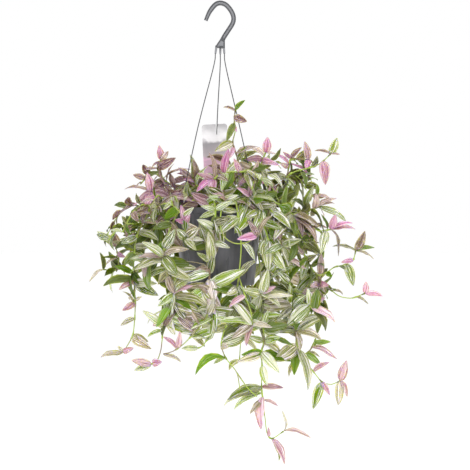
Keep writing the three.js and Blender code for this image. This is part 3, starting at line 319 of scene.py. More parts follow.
# %% Peat
def milled_peat(name):
    """Dark brown with lighter threads, all from noise at 2 and 7 mm."""
    material, tree = new_material(name)
    place = add(tree, "TexCoord").outputs["Object"]
    lumps = add(tree, "TexNoise", {
        "Vector": place, "Scale": 140.0, "Detail": 6.0, "Roughness": 0.7,
    }).outputs[0]
    threads = add(tree, "TexNoise", {"Vector": place, "Scale": 480.0, "Detail": 2.0}).outputs[0]
    light = add(tree, "MapRange", {
        "Value": threads, "From Min": 0.55, "From Max": 0.75, "To Max": 0.7,
    }).outputs[0]
    base = add(tree, "Mix", {0: lumps, 6: linear("#1d140d"), 7: linear("#4c3825")}, data_type="RGBA")
    colour = add(tree, "Mix", {0: light, 6: base.outputs[2], 7: linear("#7d6549")}, data_type="RGBA")
    finish_material(tree, colour.outputs[2], 0.95, lumps, 0.0015)
    return material


PEAT = milled_peat("milled peat")


# %% [markdown]
# The plant label is a thin sheet of clear polypropylene, printed on its back in soft fields: grey at the
# top edge, nearly white below it, a darker grey band, and pink further down. An image could be laid on
# it, but fields worked out from the height need no file. Noise makes their edges a little uneven.

# %% Printed label sheet
def printed_sheet(name, top, band, pink):
    """Grey to white below the top, darker grey below the band, soft pink below pink, all in metres."""
    material, tree = new_material(name)
    place = add(tree, "TexCoord").outputs["Object"]
    axes = add(tree, "SeparateXYZ", {0: place}).outputs
    cloud = add(tree, "TexNoise", {"Vector": place, "Scale": 55.0, "Detail": 3.0}).outputs[0]
    fields = add(tree, "TexNoise", {"Vector": place, "Scale": 95.0, "Detail": 2.0}).outputs[0]
    ripple = add(tree, "MapRange", {
        "Value": cloud, "From Min": 0.35, "From Max": 0.65, "To Min": -0.004, "To Max": 0.004,
    }).outputs[0]
    height = add(tree, "Math", {0: axes[2], 1: ripple}, operation="ADD").outputs[0]
    # Each share runs from 0 at the first of its two heights to 1 at the second
    near_top, near_band, in_band, in_pink = (
        add(tree, "MapRange", {"Value": height, "From Min": first, "From Max": second}).outputs[0]
        for first, second in (
            (top - 0.02, top - 0.002), (pink + 0.002, band - 0.004), (band + 0.004, band - 0.002),
            (pink + 0.002, pink - 0.002),
        )
    )
    field = add(tree, "MapRange", {"Value": fields, "From Min": 0.42, "From Max": 0.58}).outputs[0]
    pale = add(tree, "Mix", {0: near_top, 6: linear("#fefcfe"), 7: linear("#c6c4c6")}, data_type="RGBA")
    dark = add(tree, "Mix", {0: near_band, 6: linear("#d2c6cc"), 7: linear("#a8a4a8")}, data_type="RGBA")
    rosy = add(tree, "Mix", {0: field, 6: linear("#f7cbe4"), 7: linear("#e0bcd2")}, data_type="RGBA")
    grey = add(tree, "Mix", {0: in_band, 6: pale.outputs[2], 7: dark.outputs[2]}, data_type="RGBA")
    colour = add(tree, "Mix", {0: in_pink, 6: grey.outputs[2], 7: rosy.outputs[2]}, data_type="RGBA")
    finish_material(tree, colour.outputs[2], 0.3, cloud, 0.0002, IOR=1.49, Transmission_Weight=0.25)
    return material


LABEL_SHEET = printed_sheet("clear polypropylene sheet, printed", top=-0.196, band=-0.226, pink=-0.252)


# %% [markdown]
# A tradescantia leaf is striped along its veins. Green tissue alternates with tissue that has no green in
# it, which looks cream in an old leaf and pink in a young one; the underside is mauve. So the stripe is
# worked out across the blade, as noise that hardly changes along it, and since u runs from edge to edge at
# every height, the stripes meet at the base and the tip as real veins do. Three numbers say how pink,
# mauve or plain green a leaf is, and three more its own draw, how much cream it has and how light it is.
# How light it is holds a random tone and also painted light and shade, and the midrib is painted darker
# as shade in its groove.

# %% Stripes of a leaf
# Cells of the stripes' noise across a blade and along it, and from one leaf's draw to the next
CELLS_ACROSS = 5.6
CELLS_ALONG = 0.35
CELLS_APART = 61.0


def leaf_stripes(tree, spot, cream):
    """How bare of green the tissue is: broad half-pale fields, wider with more cream, and white threads.

    A field is where the broad noise passes a limit, and a thread where the fine noise crosses its middle.
    """
    broad = add(tree, "TexNoise", {
        "Vector": spot, "Scale": 1.0, "Detail": 1.5, "Roughness": 0.55,
    }).outputs[0]
    limit = add(tree, "Math", {0: cream, 1: -0.24, 2: 0.66}, operation="MULTIPLY_ADD").outputs[0]
    above = add(tree, "Math", {0: broad, 1: limit}, operation="SUBTRACT").outputs[0]
    field = add(tree, "MapRange", {
        "Value": above, "From Min": -0.02, "From Max": 0.05, "To Max": 0.55,
    }, interpolation_type="SMOOTHSTEP").outputs[0]
    fine = add(tree, "TexNoise", {"Vector": spot, "Scale": 2.3, "Detail": 0.0}).outputs[0]
    beside = add(tree, "Math", {0: fine, 1: 0.5}, operation="SUBTRACT").outputs[0]
    crossing = add(tree, "Math", {0: beside}, operation="ABSOLUTE").outputs[0]
    thread = add(tree, "MapRange", {
        "Value": crossing, "From Min": 0.062, "From Max": 0.03,
    }, interpolation_type="SMOOTHSTEP").outputs[0]
    return add(tree, "Math", {0: field, 1: thread}, operation="MAXIMUM").outputs[0]


# %% Living leaf, both sides
# The veins are a sine wave across the blade, of this many radians from edge to edge
VEIN_PHASE = 75.0


def living_leaf(name, green, deep_green, sage, cream, pink, pale_pink, mauve, pale_mauve, vivid, roughness):
    """Stripes from noise across the blade, tinted by the leaf's attributes, with veins in the bump.

    The green runs from deep to plain by blotches and by the leaf's own draw, and to sage with its cream.
    """
    material, tree = new_material(name)
    uv = add(tree, "UVMap", uv_map="surface").outputs[0]
    leaf_draw = add(tree, "Attribute", attribute_name="leaf_draw").outputs["Vector"]
    leaf_mood = add(tree, "Attribute", attribute_name="leaf_mood").outputs["Vector"]
    surface = add(tree, "SeparateXYZ", {0: uv}).outputs
    draw, creaminess, light = add(tree, "SeparateXYZ", {0: leaf_draw}).outputs
    pinkness, mauveness, greenness = add(tree, "SeparateXYZ", {0: leaf_mood}).outputs
    across = add(tree, "Math", {0: surface[0], 1: CELLS_ACROSS}, operation="MULTIPLY").outputs[0]
    shifted = add(tree, "Math", {0: draw, 1: CELLS_APART, 2: across}, operation="MULTIPLY_ADD").outputs[0]
    along = add(tree, "Math", {0: surface[1], 1: CELLS_ALONG}, operation="MULTIPLY").outputs[0]
    spot = add(tree, "CombineXYZ", {0: shifted, 1: along, 2: draw}).outputs[0]
    plain = add(tree, "Math", {0: greenness, 1: -0.92, 2: 1.0}, operation="MULTIPLY_ADD").outputs[0]
    bare = leaf_stripes(tree, spot, creaminess)
    stripe = add(tree, "Math", {0: bare, 1: plain}, operation="MULTIPLY").outputs[0]
    blotches = add(tree, "TexNoise", {"Vector": spot, "Scale": 2.3, "Detail": 3.0}).outputs[0]
    lighter = add(tree, "Math", {0: draw, 1: 0.7, 2: blotches}, operation="MULTIPLY_ADD").outputs[0]
    lightness = add(tree, "MapRange", {"Value": lighter, "From Min": 0.4, "From Max": 1.1}).outputs[0]
    pale = add(tree, "MapRange", {
        "Value": creaminess, "From Min": 0.2, "From Max": 0.8, "To Max": 0.7,
    }).outputs[0]
    tissue = add(tree, "Mix", {0: lightness, 6: linear(deep_green), 7: linear(green)}, data_type="RGBA")
    paled = add(tree, "Mix", {0: pale, 6: tissue.outputs[2], 7: linear(sage)}, data_type="RGBA")
    fresh = add(tree, "Mix", {0: greenness, 6: paled.outputs[2], 7: linear(vivid)}, data_type="RGBA")
    old = add(tree, "Mix", {0: stripe, 6: fresh.outputs[2], 7: linear(cream)}, data_type="RGBA")
    young = add(tree, "Mix", {0: stripe, 6: linear(pink), 7: linear(pale_pink)}, data_type="RGBA")
    flushed = add(tree, "Mix", {0: stripe, 6: linear(mauve), 7: linear(pale_mauve)}, data_type="RGBA")
    pinker = add(tree, "Mix", {0: pinkness, 6: old.outputs[2], 7: young.outputs[2]}, data_type="RGBA")
    tinted = add(tree, "Mix", {0: mauveness, 6: pinker.outputs[2], 7: flushed.outputs[2]}, data_type="RGBA")
    veins = add(tree, "Math", {0: surface[0], 1: VEIN_PHASE}, operation="MULTIPLY").outputs[0]
    ribs = add(tree, "Math", {0: veins}, operation="SINE").outputs[0]
    beside = add(tree, "Math", {0: surface[0], 1: 0.5}, operation="SUBTRACT").outputs[0]
    off_middle = add(tree, "Math", {0: beside}, operation="ABSOLUTE").outputs[0]
    groove = add(tree, "MapRange", {
        "Value": off_middle, "From Min": 0.0, "From Max": 0.035, "To Min": 1.0, "To Max": 0.0,
    }).outputs[0]
    edge = add(tree, "MapRange", {
        "Value": off_middle, "From Min": 0.43, "From Max": 0.5, "To Max": 0.15,
    }).outputs[0]
    hem = add(tree, "Math", {0: edge, 1: plain}, operation="MULTIPLY").outputs[0]
    hemmed = add(tree, "Mix", {0: hem, 6: tinted.outputs[2], 7: linear("#c6c088")}, data_type="RGBA")
    # The colour is scaled by the leaf's light, a random tone with painted light and shade in it, and by the
    # veins' slight tone, and it is darker along the midrib's groove: painted shade in the crease.
    shade = add(tree, "Math", {0: ribs, 1: 0.035, 2: light}, operation="MULTIPLY_ADD").outputs[0]
    shade = add(tree, "Math", {0: groove, 1: -0.16, 2: shade}, operation="MULTIPLY_ADD").outputs[0]
    colour = add(tree, "VectorMath", {0: hemmed.outputs[2], "Scale": shade}, operation="SCALE").outputs[0]
    relief = add(tree, "Math", {0: groove, 1: -2.5, 2: ribs}, operation="MULTIPLY_ADD").outputs[0]
    finish_material(tree, colour, roughness, relief, 0.0002, Specular_IOR_Level=0.08, Subsurface_Weight=0.6,
                    Subsurface_Radius=(0.9, 1.0, 0.15), Subsurface_Scale=0.0015)
    return material


LEAF_UPPER = living_leaf(
    "tradescantia leaf, upper side", "#82a008", "#2c4400", "#96ac50", "#fffdf0", "#c064a4", "#f4c2e2",
    "#8a5a6e", "#e0c4c6", "#557600", 0.42)
LEAF_UNDER = living_leaf(
    "tradescantia leaf, underside", "#84932a", "#4e5410", "#a0a674", "#ece6cc", "#b05e96", "#dea8cc",
    "#845464", "#ccaaac", "#607400", 0.5)


# %% [markdown]
# The stems are succulent: smooth, a little glossy, yellow-green, and flushed with purple-brown where the
# light reaches them. The flush comes in stretches of a few centimetres, so its noise is that coarse.

# %% Living stem
def living_stem(name):
    """Yellow-green to purple-brown by noise at 40 mm and by how mauve the shoot is."""
    material, tree = new_material(name)
    place = add(tree, "TexCoord").outputs["Object"]
    leaf_mood = add(tree, "Attribute", attribute_name="leaf_mood").outputs["Vector"]
    moods = add(tree, "SeparateXYZ", {0: leaf_mood}).outputs
    stretch = add(tree, "TexNoise", {"Vector": place, "Scale": 25.0, "Detail": 2.0}).outputs[0]
    fine = add(tree, "TexNoise", {"Vector": place, "Scale": 700.0, "Detail": 1.0}).outputs[0]
    flush = add(tree, "Math", {0: moods[1], 1: 0.22, 2: stretch}, operation="MULTIPLY_ADD").outputs[0]
    amount = add(tree, "MapRange", {
        "Value": flush, "From Min": 0.54, "From Max": 0.68, "To Max": 0.85,
    }).outputs[0]
    green = add(tree, "Mix", {0: fine, 6: linear("#86a41c"), 7: linear("#bccf62")}, data_type="RGBA")
    colour = add(tree, "Mix", {0: amount, 6: green.outputs[2], 7: linear("#7b5552")}, data_type="RGBA")
    finish_material(tree, colour.outputs[2], 0.38, fine, 0.00015, Specular_IOR_Level=0.5)
    return material


STEM = living_stem("tradescantia stem")
PLANT_MATERIALS = [LEAF_UPPER, LEAF_UNDER, STEM]
print("plant materials:", [m.name for m in PLANT_MATERIALS])


# %% [markdown]
# The pot is turned on a lathe of points: a profile of radius and height carried round the axis. The real
# one is injection moulded, so its rim is a rolled band with soft edges, and its base has a low foot ring
# and drain holes. The holes are cut by a Boolean, which is simpler than a grid with holes in it.

# %% A profile with soft corners, carried round the axis
def soft_corners(rows, radius, steps=4):
    """Each corner of an open outline replaced by an arc-like curve that starts and ends radius from it."""
    rows = np.asarray(rows, dtype=float)
    out = [rows[:1]]
    for before, corner, after in zip(rows[:-2], rows[1:-1], rows[2:]):
        reach = min(radius, 0.45 * np.linalg.norm(corner - before), 0.45 * np.linalg.norm(after - corner))
        start = corner + unit(before - corner) * reach
        end = corner + unit(after - corner) * reach
        t = np.linspace(0, 1, steps + 1)[:, None]
        out.append(start * (1 - t) ** 2 + corner * 2 * t * (1 - t) + end * t**2)
    out.append(rows[-1:])
    return np.concatenate(out)


def lathe(name, profile, sides, material, bumps=None):
    """Points (radius, height) turned round the pot's axis; the first and last lie on the axis."""
    angle = 2 * np.pi * np.arange(sides) / sides
    radius, height = profile[1:-1, 0][:, None], profile[1:-1, 1][:, None]
    rings = np.stack([
        POT_X + radius * np.cos(angle), radius * np.sin(angle), np.broadcast_to(height, (len(radius), sides)),
    ], axis=-1)
    ends = np.array([[[POT_X, 0, profile[0, 1]], [POT_X, 0, profile[-1, 1]]]])
    if bumps:
        for points in (rings, ends):
            points[..., 2] += bumps(*np.moveaxis(points, -1, 0))
    uv = around_and_along(len(radius), sides)
    return make_piece(name, [patch(rings[None], ends, uv)], [material])


def inner_radius(depth):
    """Radius of the pot's tapering inside at a depth under the rim."""
    top = RIM_R - BAND_STEP - WALL
    return top - (top - BASE_R + WALL) * depth / POT_HEIGHT


def cut(piece, cutters):
    """Takes the cutters out of the piece by applied Booleans, and removes them."""
    for cutter in cutters:
        difference = piece.modifiers.new("cut", "BOOLEAN")
        difference.operation = "DIFFERENCE"
        difference.solver = "EXACT"
        difference.material_mode = "TRANSFER"
        difference.object = cutter
    shape = piece.evaluated_get(bpy.context.evaluated_depsgraph_get())
    mesh = bpy.data.meshes.new_from_object(shape)
    piece.modifiers.clear()
    piece.data = mesh
    for cutter in cutters:
        bpy.data.objects.remove(cutter)


# %% Pot
POT_SIDES = 144
FOOT = 1.2
POT_PROFILE = soft_corners([
    (0, -POT_HEIGHT + FOOT), (BASE_R - 7, -POT_HEIGHT + FOOT), (BASE_R - 6, -POT_HEIGHT),
    (BASE_R - 0.6, -POT_HEIGHT), (BASE_R + 0.4, -POT_HEIGHT + 4), (RIM_R - BAND_STEP, -BAND_HEIGHT - 1),
    (RIM_R, -BAND_HEIGHT), (RIM_R, 0), (RIM_R - 3.1, 0), (inner_radius(2), -2.4),
    (inner_radius(POT_HEIGHT - FLOOR), -POT_HEIGHT + FLOOR), (0, -POT_HEIGHT + FLOOR),
], 0.9)
POT_PROFILE[:, 1] += RIM_Z
pot = lathe("pot_shell", POT_PROFILE, POT_SIDES, POT_PLASTIC)
drains = []
for hole in range(DRAIN_COUNT):
    turn = 2 * math.pi * (hole + 0.5) / DRAIN_COUNT
    middle = np.array([POT_X + DRAIN_PITCH_R * math.cos(turn), DRAIN_PITCH_R * math.sin(turn), 0])
    heights = RIM_Z - POT_HEIGHT + np.array([-4.0, 0.0, FLOOR + 3])
    centres = middle + np.stack([0 * heights, 0 * heights, heights], axis=-1)
    drains.append(make_piece(f"drain_{hole}", [tube(centres, np.full(3, DRAIN_R), 24)], [POT_PLASTIC]))
cut(pot, drains)
pot.data.set_sharp_from_angle(angle=math.radians(38))
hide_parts("pot")
print("pot:", len(pot.data.polygons), "faces")


# %% [markdown]
# The soil fills the pot to a finger's width under the rim. Its top is raised and sunk by noise of three
# sizes, and loose crumbs of peat lie on it, sunk by half.

# %% Noise for shapes
LATTICE = 64


def value_noise(x, y, scale, seed):
    """Smooth noise from -1 to 1: random heights on a square lattice, blended between its points."""
    draws = np.random.default_rng(seed).uniform(-1, 1, (LATTICE, LATTICE))
    fx, fy = x / scale, y / scale
    ix, iy = np.floor(fx).astype(int), np.floor(fy).astype(int)
    tx, ty = fx - ix, fy - iy
    tx, ty = tx * tx * (3 - 2 * tx), ty * ty * (3 - 2 * ty)
    left, right = ix % LATTICE, (ix + 1) % LATTICE
    near, far = (draws[left, row % LATTICE] * (1 - tx) + draws[right, row % LATTICE] * tx
                 for row in (iy, iy + 1))
    return near * (1 - ty) + far * ty


def soil_bumps(x, y, z):
    """Height added to the soil's top by noise at 14, 5 and 2 mm, fading out below it."""
    top = np.clip((z - SOIL_Z + 3) / 3, 0, 1)
    rough = 0.9 * value_noise(x, y, 14, 3) + 0.7 * value_noise(x, y, 5, 4) + 0.35 * value_noise(x, y, 2, 5)
    return top * (rough - 0.9)


# %% Soil and its crumbs
SOIL_SIDES = 120
CRUMB_SIDES = 6
SOIL_BOTTOM = -POT_HEIGHT + FLOOR + SOIL_GAP + RIM_Z
SOIL_TOP_R = inner_radius(RIM_Z - SOIL_Z) - SOIL_GAP
radii = np.linspace(SOIL_TOP_R, 0, 40)[1:]
SOIL_PROFILE = np.concatenate([
    [(0, SOIL_BOTTOM), (inner_radius(RIM_Z - SOIL_BOTTOM) - SOIL_GAP, SOIL_BOTTOM),
     (SOIL_TOP_R - 0.3, SOIL_Z - 4), (SOIL_TOP_R, SOIL_Z)],
    np.stack([radii, np.full(len(radii), SOIL_Z)], axis=-1),
])
soil = lathe("soil_bed", SOIL_PROFILE, SOIL_SIDES, PEAT, soil_bumps)
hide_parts("soil")


def lumps(count, size, seed):
    """Crumbs with uneven corners, scattered over the soil by seeded draws."""
    draws = np.random.default_rng(seed)
    reach = (SOIL_TOP_R - 4) * np.sqrt(draws.uniform(0, 1, count))
    turn = draws.uniform(0, 2 * np.pi, count)
    x, y = POT_X + reach * np.cos(turn), reach * np.sin(turn)
    z = SOIL_Z + soil_bumps(x, y, np.full(count, SOIL_Z)) + 0.1 * size
    middle = np.stack([x, y, z], axis=-1)[:, None, None]
    radius = size * draws.uniform(0.35, 1.0, (count, 1, 1, 1)) / 2
    angle = 2 * np.pi * np.arange(CRUMB_SIDES) / CRUMB_SIDES
    level = np.array([-0.45, 0.4])[:, None] * np.ones(CRUMB_SIDES)
    wide = np.array([0.95, 0.8])[:, None]
    form = np.stack([wide * np.cos(angle), wide * np.sin(angle), level], axis=-1)
    uneven = draws.uniform(0.7, 1.3, (count, 2, CRUMB_SIDES, 1))
    rings = middle + radius * form * uneven
    ends = middle[:, 0] + radius[:, 0] * np.array([[0, 0, -0.8], [0, 0, 0.75]])
    return patch(rings, ends, around_and_along(2, CRUMB_SIDES))


crumbs = make_piece("soil_crumbs", [lumps(420, 3.6, 8), lumps(60, 6.5, 9)], [PEAT])
print("soil:", len(soil.data.polygons) + len(crumbs.data.polygons), "faces")


# %% [markdown]
# The hook is one moulding: a crook whose section is an I, so that it is stiff with little plastic, above a
# small wedge-shaped yoke. The section is carried along the crook's centre line, and a narrow bevel gives
# each edge the small radius that a mould leaves and that catches the light.

# %% Solids with flat ends
HOOK_WIDTH = 7.7
HOOK_DEPTH = 6
FLANGE = 1.9
WEB = 2.6
YOKE_FRONT = -5
YOKE_BACK = 9
MOULDED_EDGE = 0.35


def round_edges(piece, width, **settings):
    """Rounds the piece's sharp edges by a bevel of a width in mm."""
    bevel = piece.modifiers.new("moulded edge", "BEVEL")
    bevel.width = width * MM
    bevel.segments = 2
    for name, value in settings.items():
        setattr(bevel, name, value)


def prism(name, rings, material, bevel):
    """A piece of rings (rows, sides, 3) with flat ends and edges rounded by bevel, all in mm."""
    rows, sides, _ = rings.shape
    side = np.arange(sides)
    ends = [side[::-1].tolist(), (side + (rows - 1) * sides).tolist()]
    mesh = bpy.data.meshes.new(name)
    mesh.from_pydata((rings.reshape(-1, 3) * MM).tolist(), [], ends + ring_quads(rows, sides).tolist())
    mesh.shade_smooth()
    mesh.materials.append(material)
    piece = on_root(name, mesh)
    if bevel:
        round_edges(piece, bevel, angle_limit=math.radians(25), harden_normals=True)
    return piece


def block(name, outline, front, back, material, bevel):
    """An outline (x, z) between two depths. Its points run clockwise as the viewer sees them."""
    near = np.insert(np.asarray(outline, dtype=float), 1, front, axis=1)
    return prism(name, np.stack([near, near + [0, back - front, 0]]), material, bevel)


# %% Crook
edge, lip, face, web = HOOK_WIDTH / 2, HOOK_WIDTH / 2 - FLANGE, HOOK_DEPTH / 2, WEB / 2
I_SECTION = [
    (-edge, -face), (-lip, -face), (-lip + 0.3, -web), (lip - 0.3, -web), (lip, -face), (edge, -face),
    (edge, face), (lip, face), (lip - 0.3, web), (-lip + 0.3, web), (-lip, face), (-edge, face),
]
WEB_SIDES = (2, 8)
BEAK = [(-2.6, 0, edge), (-8, 0, 1.6), (-14.3, 0, -5), (-19.7, 0, -13.5), (-24.8, 0, -25.4)]
SHANK = [
    (1.4, 0, edge), (7.4, 0, 1.6), (12.6, 0, -2.8), (18.7, 0, -11.5), (21.6, 0, -20.5), (20.2, 0, -29.8),
    (13.4, 0, -41), (6, 0, -52.4), (2, 0, -60),
]
left = smooth_curve(BEAK, 0.5)(np.linspace(0, len(BEAK) - 1, 25))[::-1]
right = smooth_curve(SHANK, 0.5)(np.linspace(0, len(SHANK) - 1, 49))
centres = np.concatenate([left, right])
directions = tangents(centres)
# The crook's top is a short flat seat, so the sections at both its ends stand upright
directions[[len(left) - 1, len(left)]] = (1, 0, 0)
taper = np.clip(np.linspace(0.78, 2.2, len(centres)), None, 1)
to_back = np.array([0.0, 1.0, 0.0])
across = np.cross(to_back, directions) * taper[:, None]
section = np.array(I_SECTION)
rings = centres[:, None] + across[:, None] * section[:, :1] + to_back * section[:, 1:]
crook = prism("hook_crook", rings, HANGER_PLASTIC, MOULDED_EDGE)
crook.data.materials.append(RECESS_PLASTIC)
side_of_face = (np.arange(len(crook.data.polygons)) - 2) % len(I_SECTION)
crook.data.polygons.foreach_set("material_index", np.isin(side_of_face, WEB_SIDES).astype(np.int32))
print("crook:", len(centres), "sections")

# %% Yoke with its recess
YOKE = [(-8.8, -70.4), (-8.8, -69), (1.2, -54), (7.2, -57.5), (7.2, -71.6)]
RECESS = [(-5.6, -69.2), (-5.6, -68.2), (0.6, -59), (4.9, -61.2), (4.9, -69.6)]
RIB = [(-2.6, -68.2), (3.4, -68.2), (3.4, -69.4), (-2.6, -69.4)]
yoke = block("hook_yoke", YOKE, YOKE_FRONT, YOKE_BACK, HANGER_PLASTIC, 0)
cut(yoke, [block("recess", RECESS, YOKE_FRONT - 2, YOKE_FRONT + 1.6, RECESS_PLASTIC, 0)])
round_edges(yoke, MOULDED_EDGE)
block("hook_yoke_rib", RIB, YOKE_FRONT + 0.4, YOKE_FRONT + 2.2, HANGER_PLASTIC, 0.2)
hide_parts("hanger_hook")
print("yoke:", len(yoke.data.polygons), "faces before its bevel")


# %% [markdown]
# Three strands of drawn polypropylene run from short sleeves under the yoke to clips on the rim. They bow
# outward a little, because the plastic is stiff. Each clip is a bent plate with one leg inside the pot and
# a lip that snaps under the rim's band.

# %% Strands and sleeves
STRAND_R = 0.8
SLEEVE_R = 1.9
CLIP_WIDTH = 7
CLIP_WALL = 1.6
CLIP_LEG = 8
CLIP_GAP = 0.4
STRAND_SEAT_R = RIM_R - 2
STRAND_STEPS = 90
SLEEVE_STEPS = 12
STRAND_ANGLES = {"left": 213, "right": 333, "rear": 93}
STRAND_PATHS = {
    "left": [(-6.9, -2.4, -67.5), (-8.6, -3, -81), (-12.2, -5.2, -105), (-37.5, -20, -205)],
    "right": [(5.2, -2.4, -67.5), (6.3, -3, -81), (9.2, -4.8, -105), (32, -18.4, -205)],
    "rear": [(-0.5, 5.6, -67.5), (-0.6, 6.6, -81), (-1, 12, -105), (-6.5, 38.6, -205)],
}


def clip(name, angle):
    """The clip's outline in radius and height, turned to its place on the rim."""
    inner = inner_radius(CLIP_LEG) - 2 * CLIP_GAP
    outer = RIM_R + CLIP_GAP
    under = -BAND_HEIGHT - 1.2
    outline = [
        (inner, CLIP_GAP), (inner, -CLIP_LEG), (inner - CLIP_WALL, -CLIP_LEG),
        (inner - CLIP_WALL, CLIP_GAP + CLIP_WALL), (outer + CLIP_WALL, CLIP_GAP + CLIP_WALL),
        (outer + CLIP_WALL, under - 1.4), (RIM_R - 1.9, under - 1.4), (RIM_R - 1.9, under), (outer, under),
        (outer, CLIP_GAP),
    ]
    turn = math.radians(angle)
    radius, height = np.array(outline).T
    rings = [np.stack([
        POT_X + radius * math.cos(turn) - across * math.sin(turn),
        radius * math.sin(turn) + across * math.cos(turn), RIM_Z + height,
    ], axis=-1) for across in (-CLIP_WIDTH / 2, CLIP_WIDTH / 2)]
    prism(name, np.stack(rings), STRAND_PLASTIC, 0.3)


strand_points = {}
for side, rows in STRAND_PATHS.items():
    turn = math.radians(STRAND_ANGLES[side])
    seat = (POT_X + STRAND_SEAT_R * math.cos(turn), STRAND_SEAT_R * math.sin(turn),
            RIM_Z + CLIP_GAP + CLIP_WALL / 2)
    run = smooth_curve(rows + [seat], 0.5)
    strand_points[side] = run(np.linspace(0.25, len(rows), STRAND_STEPS))
    rod = tube(strand_points[side], np.full(STRAND_STEPS, STRAND_R), 12)
    strand = make_piece(f"strand_{side}", [rod], [STRAND_PLASTIC])
    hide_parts(f"hanger_strand_{side}")
    clip(f"strand_clip_{side}", STRAND_ANGLES[side])
    down = np.linspace(0, 1, SLEEVE_STEPS)
    sleeve = tube(run(down), SLEEVE_R - 0.35 * down**4, 20)
    make_piece(f"hook_sleeve_{side}", [sleeve], [RECESS_PLASTIC])
print("strands:", list(strand_points))


# %% [markdown]
# The label is a stiff card with rounded corners. It is pushed into the soil behind the plant's crown, and
# the rear strand passes through the slit in its top edge. Its outline is given as corners and arcs.

# %% Label
LABEL_WIDTH = 43
LABEL_TOP_Z = -196
LABEL_X = -11
LABEL_Y = 38.5
LABEL_TILT = 3
LABEL_BODY = 138
LABEL_STAKE = 176
LABEL_THICKNESS = 0.8
STAKE_WIDTH = 13
STAKE_POINT = 14
SHOULDER = 6
LABEL_CORNER = 5
SLIT_X = 4.1
SLIT_WIDTH = 2.8
SLIT_DEPTH = 18


def arc(x, z, radius, start, end, steps=10):
    """Points on a circle about (x, z) from one angle to another, in degrees."""
    angle = np.radians(np.linspace(start, end, steps + 1))
    return np.stack([x + radius * np.cos(angle), z + radius * np.sin(angle)], axis=-1)


half, stake, slit = LABEL_WIDTH / 2, STAKE_WIDTH / 2, SLIT_WIDTH / 2
label_outline = np.concatenate([
    [(0, -LABEL_STAKE), (stake, -LABEL_STAKE + STAKE_POINT), (stake, -LABEL_BODY - SHOULDER),
     (half, -LABEL_BODY)],
    arc(half - LABEL_CORNER, -LABEL_CORNER, LABEL_CORNER, 0, 90),
    [(SLIT_X + slit, 0)], arc(SLIT_X, -SLIT_DEPTH + slit, slit, 0, -180), [(SLIT_X - slit, 0)],
    arc(-half + LABEL_CORNER, -LABEL_CORNER, LABEL_CORNER, 90, 180),
    [(-half, -LABEL_BODY), (-stake, -LABEL_BODY - SHOULDER), (-stake, -LABEL_STAKE + STAKE_POINT)],
])
tilt = math.radians(-LABEL_TILT)
label_x = LABEL_X + label_outline[:, 0] * math.cos(tilt) + label_outline[:, 1] * math.sin(tilt)
label_z = LABEL_TOP_Z - label_outline[:, 0] * math.sin(tilt) + label_outline[:, 1] * math.cos(tilt)
label_front, label_back = LABEL_Y - LABEL_THICKNESS / 2, LABEL_Y + LABEL_THICKNESS / 2
label_points = np.stack([label_x, label_z], axis=-1)[::-1]
label = block("plant_label_card", label_points, label_front, label_back, LABEL_SHEET, 0.12)
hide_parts("plant_label")
print("label:", len(label_outline), "points")
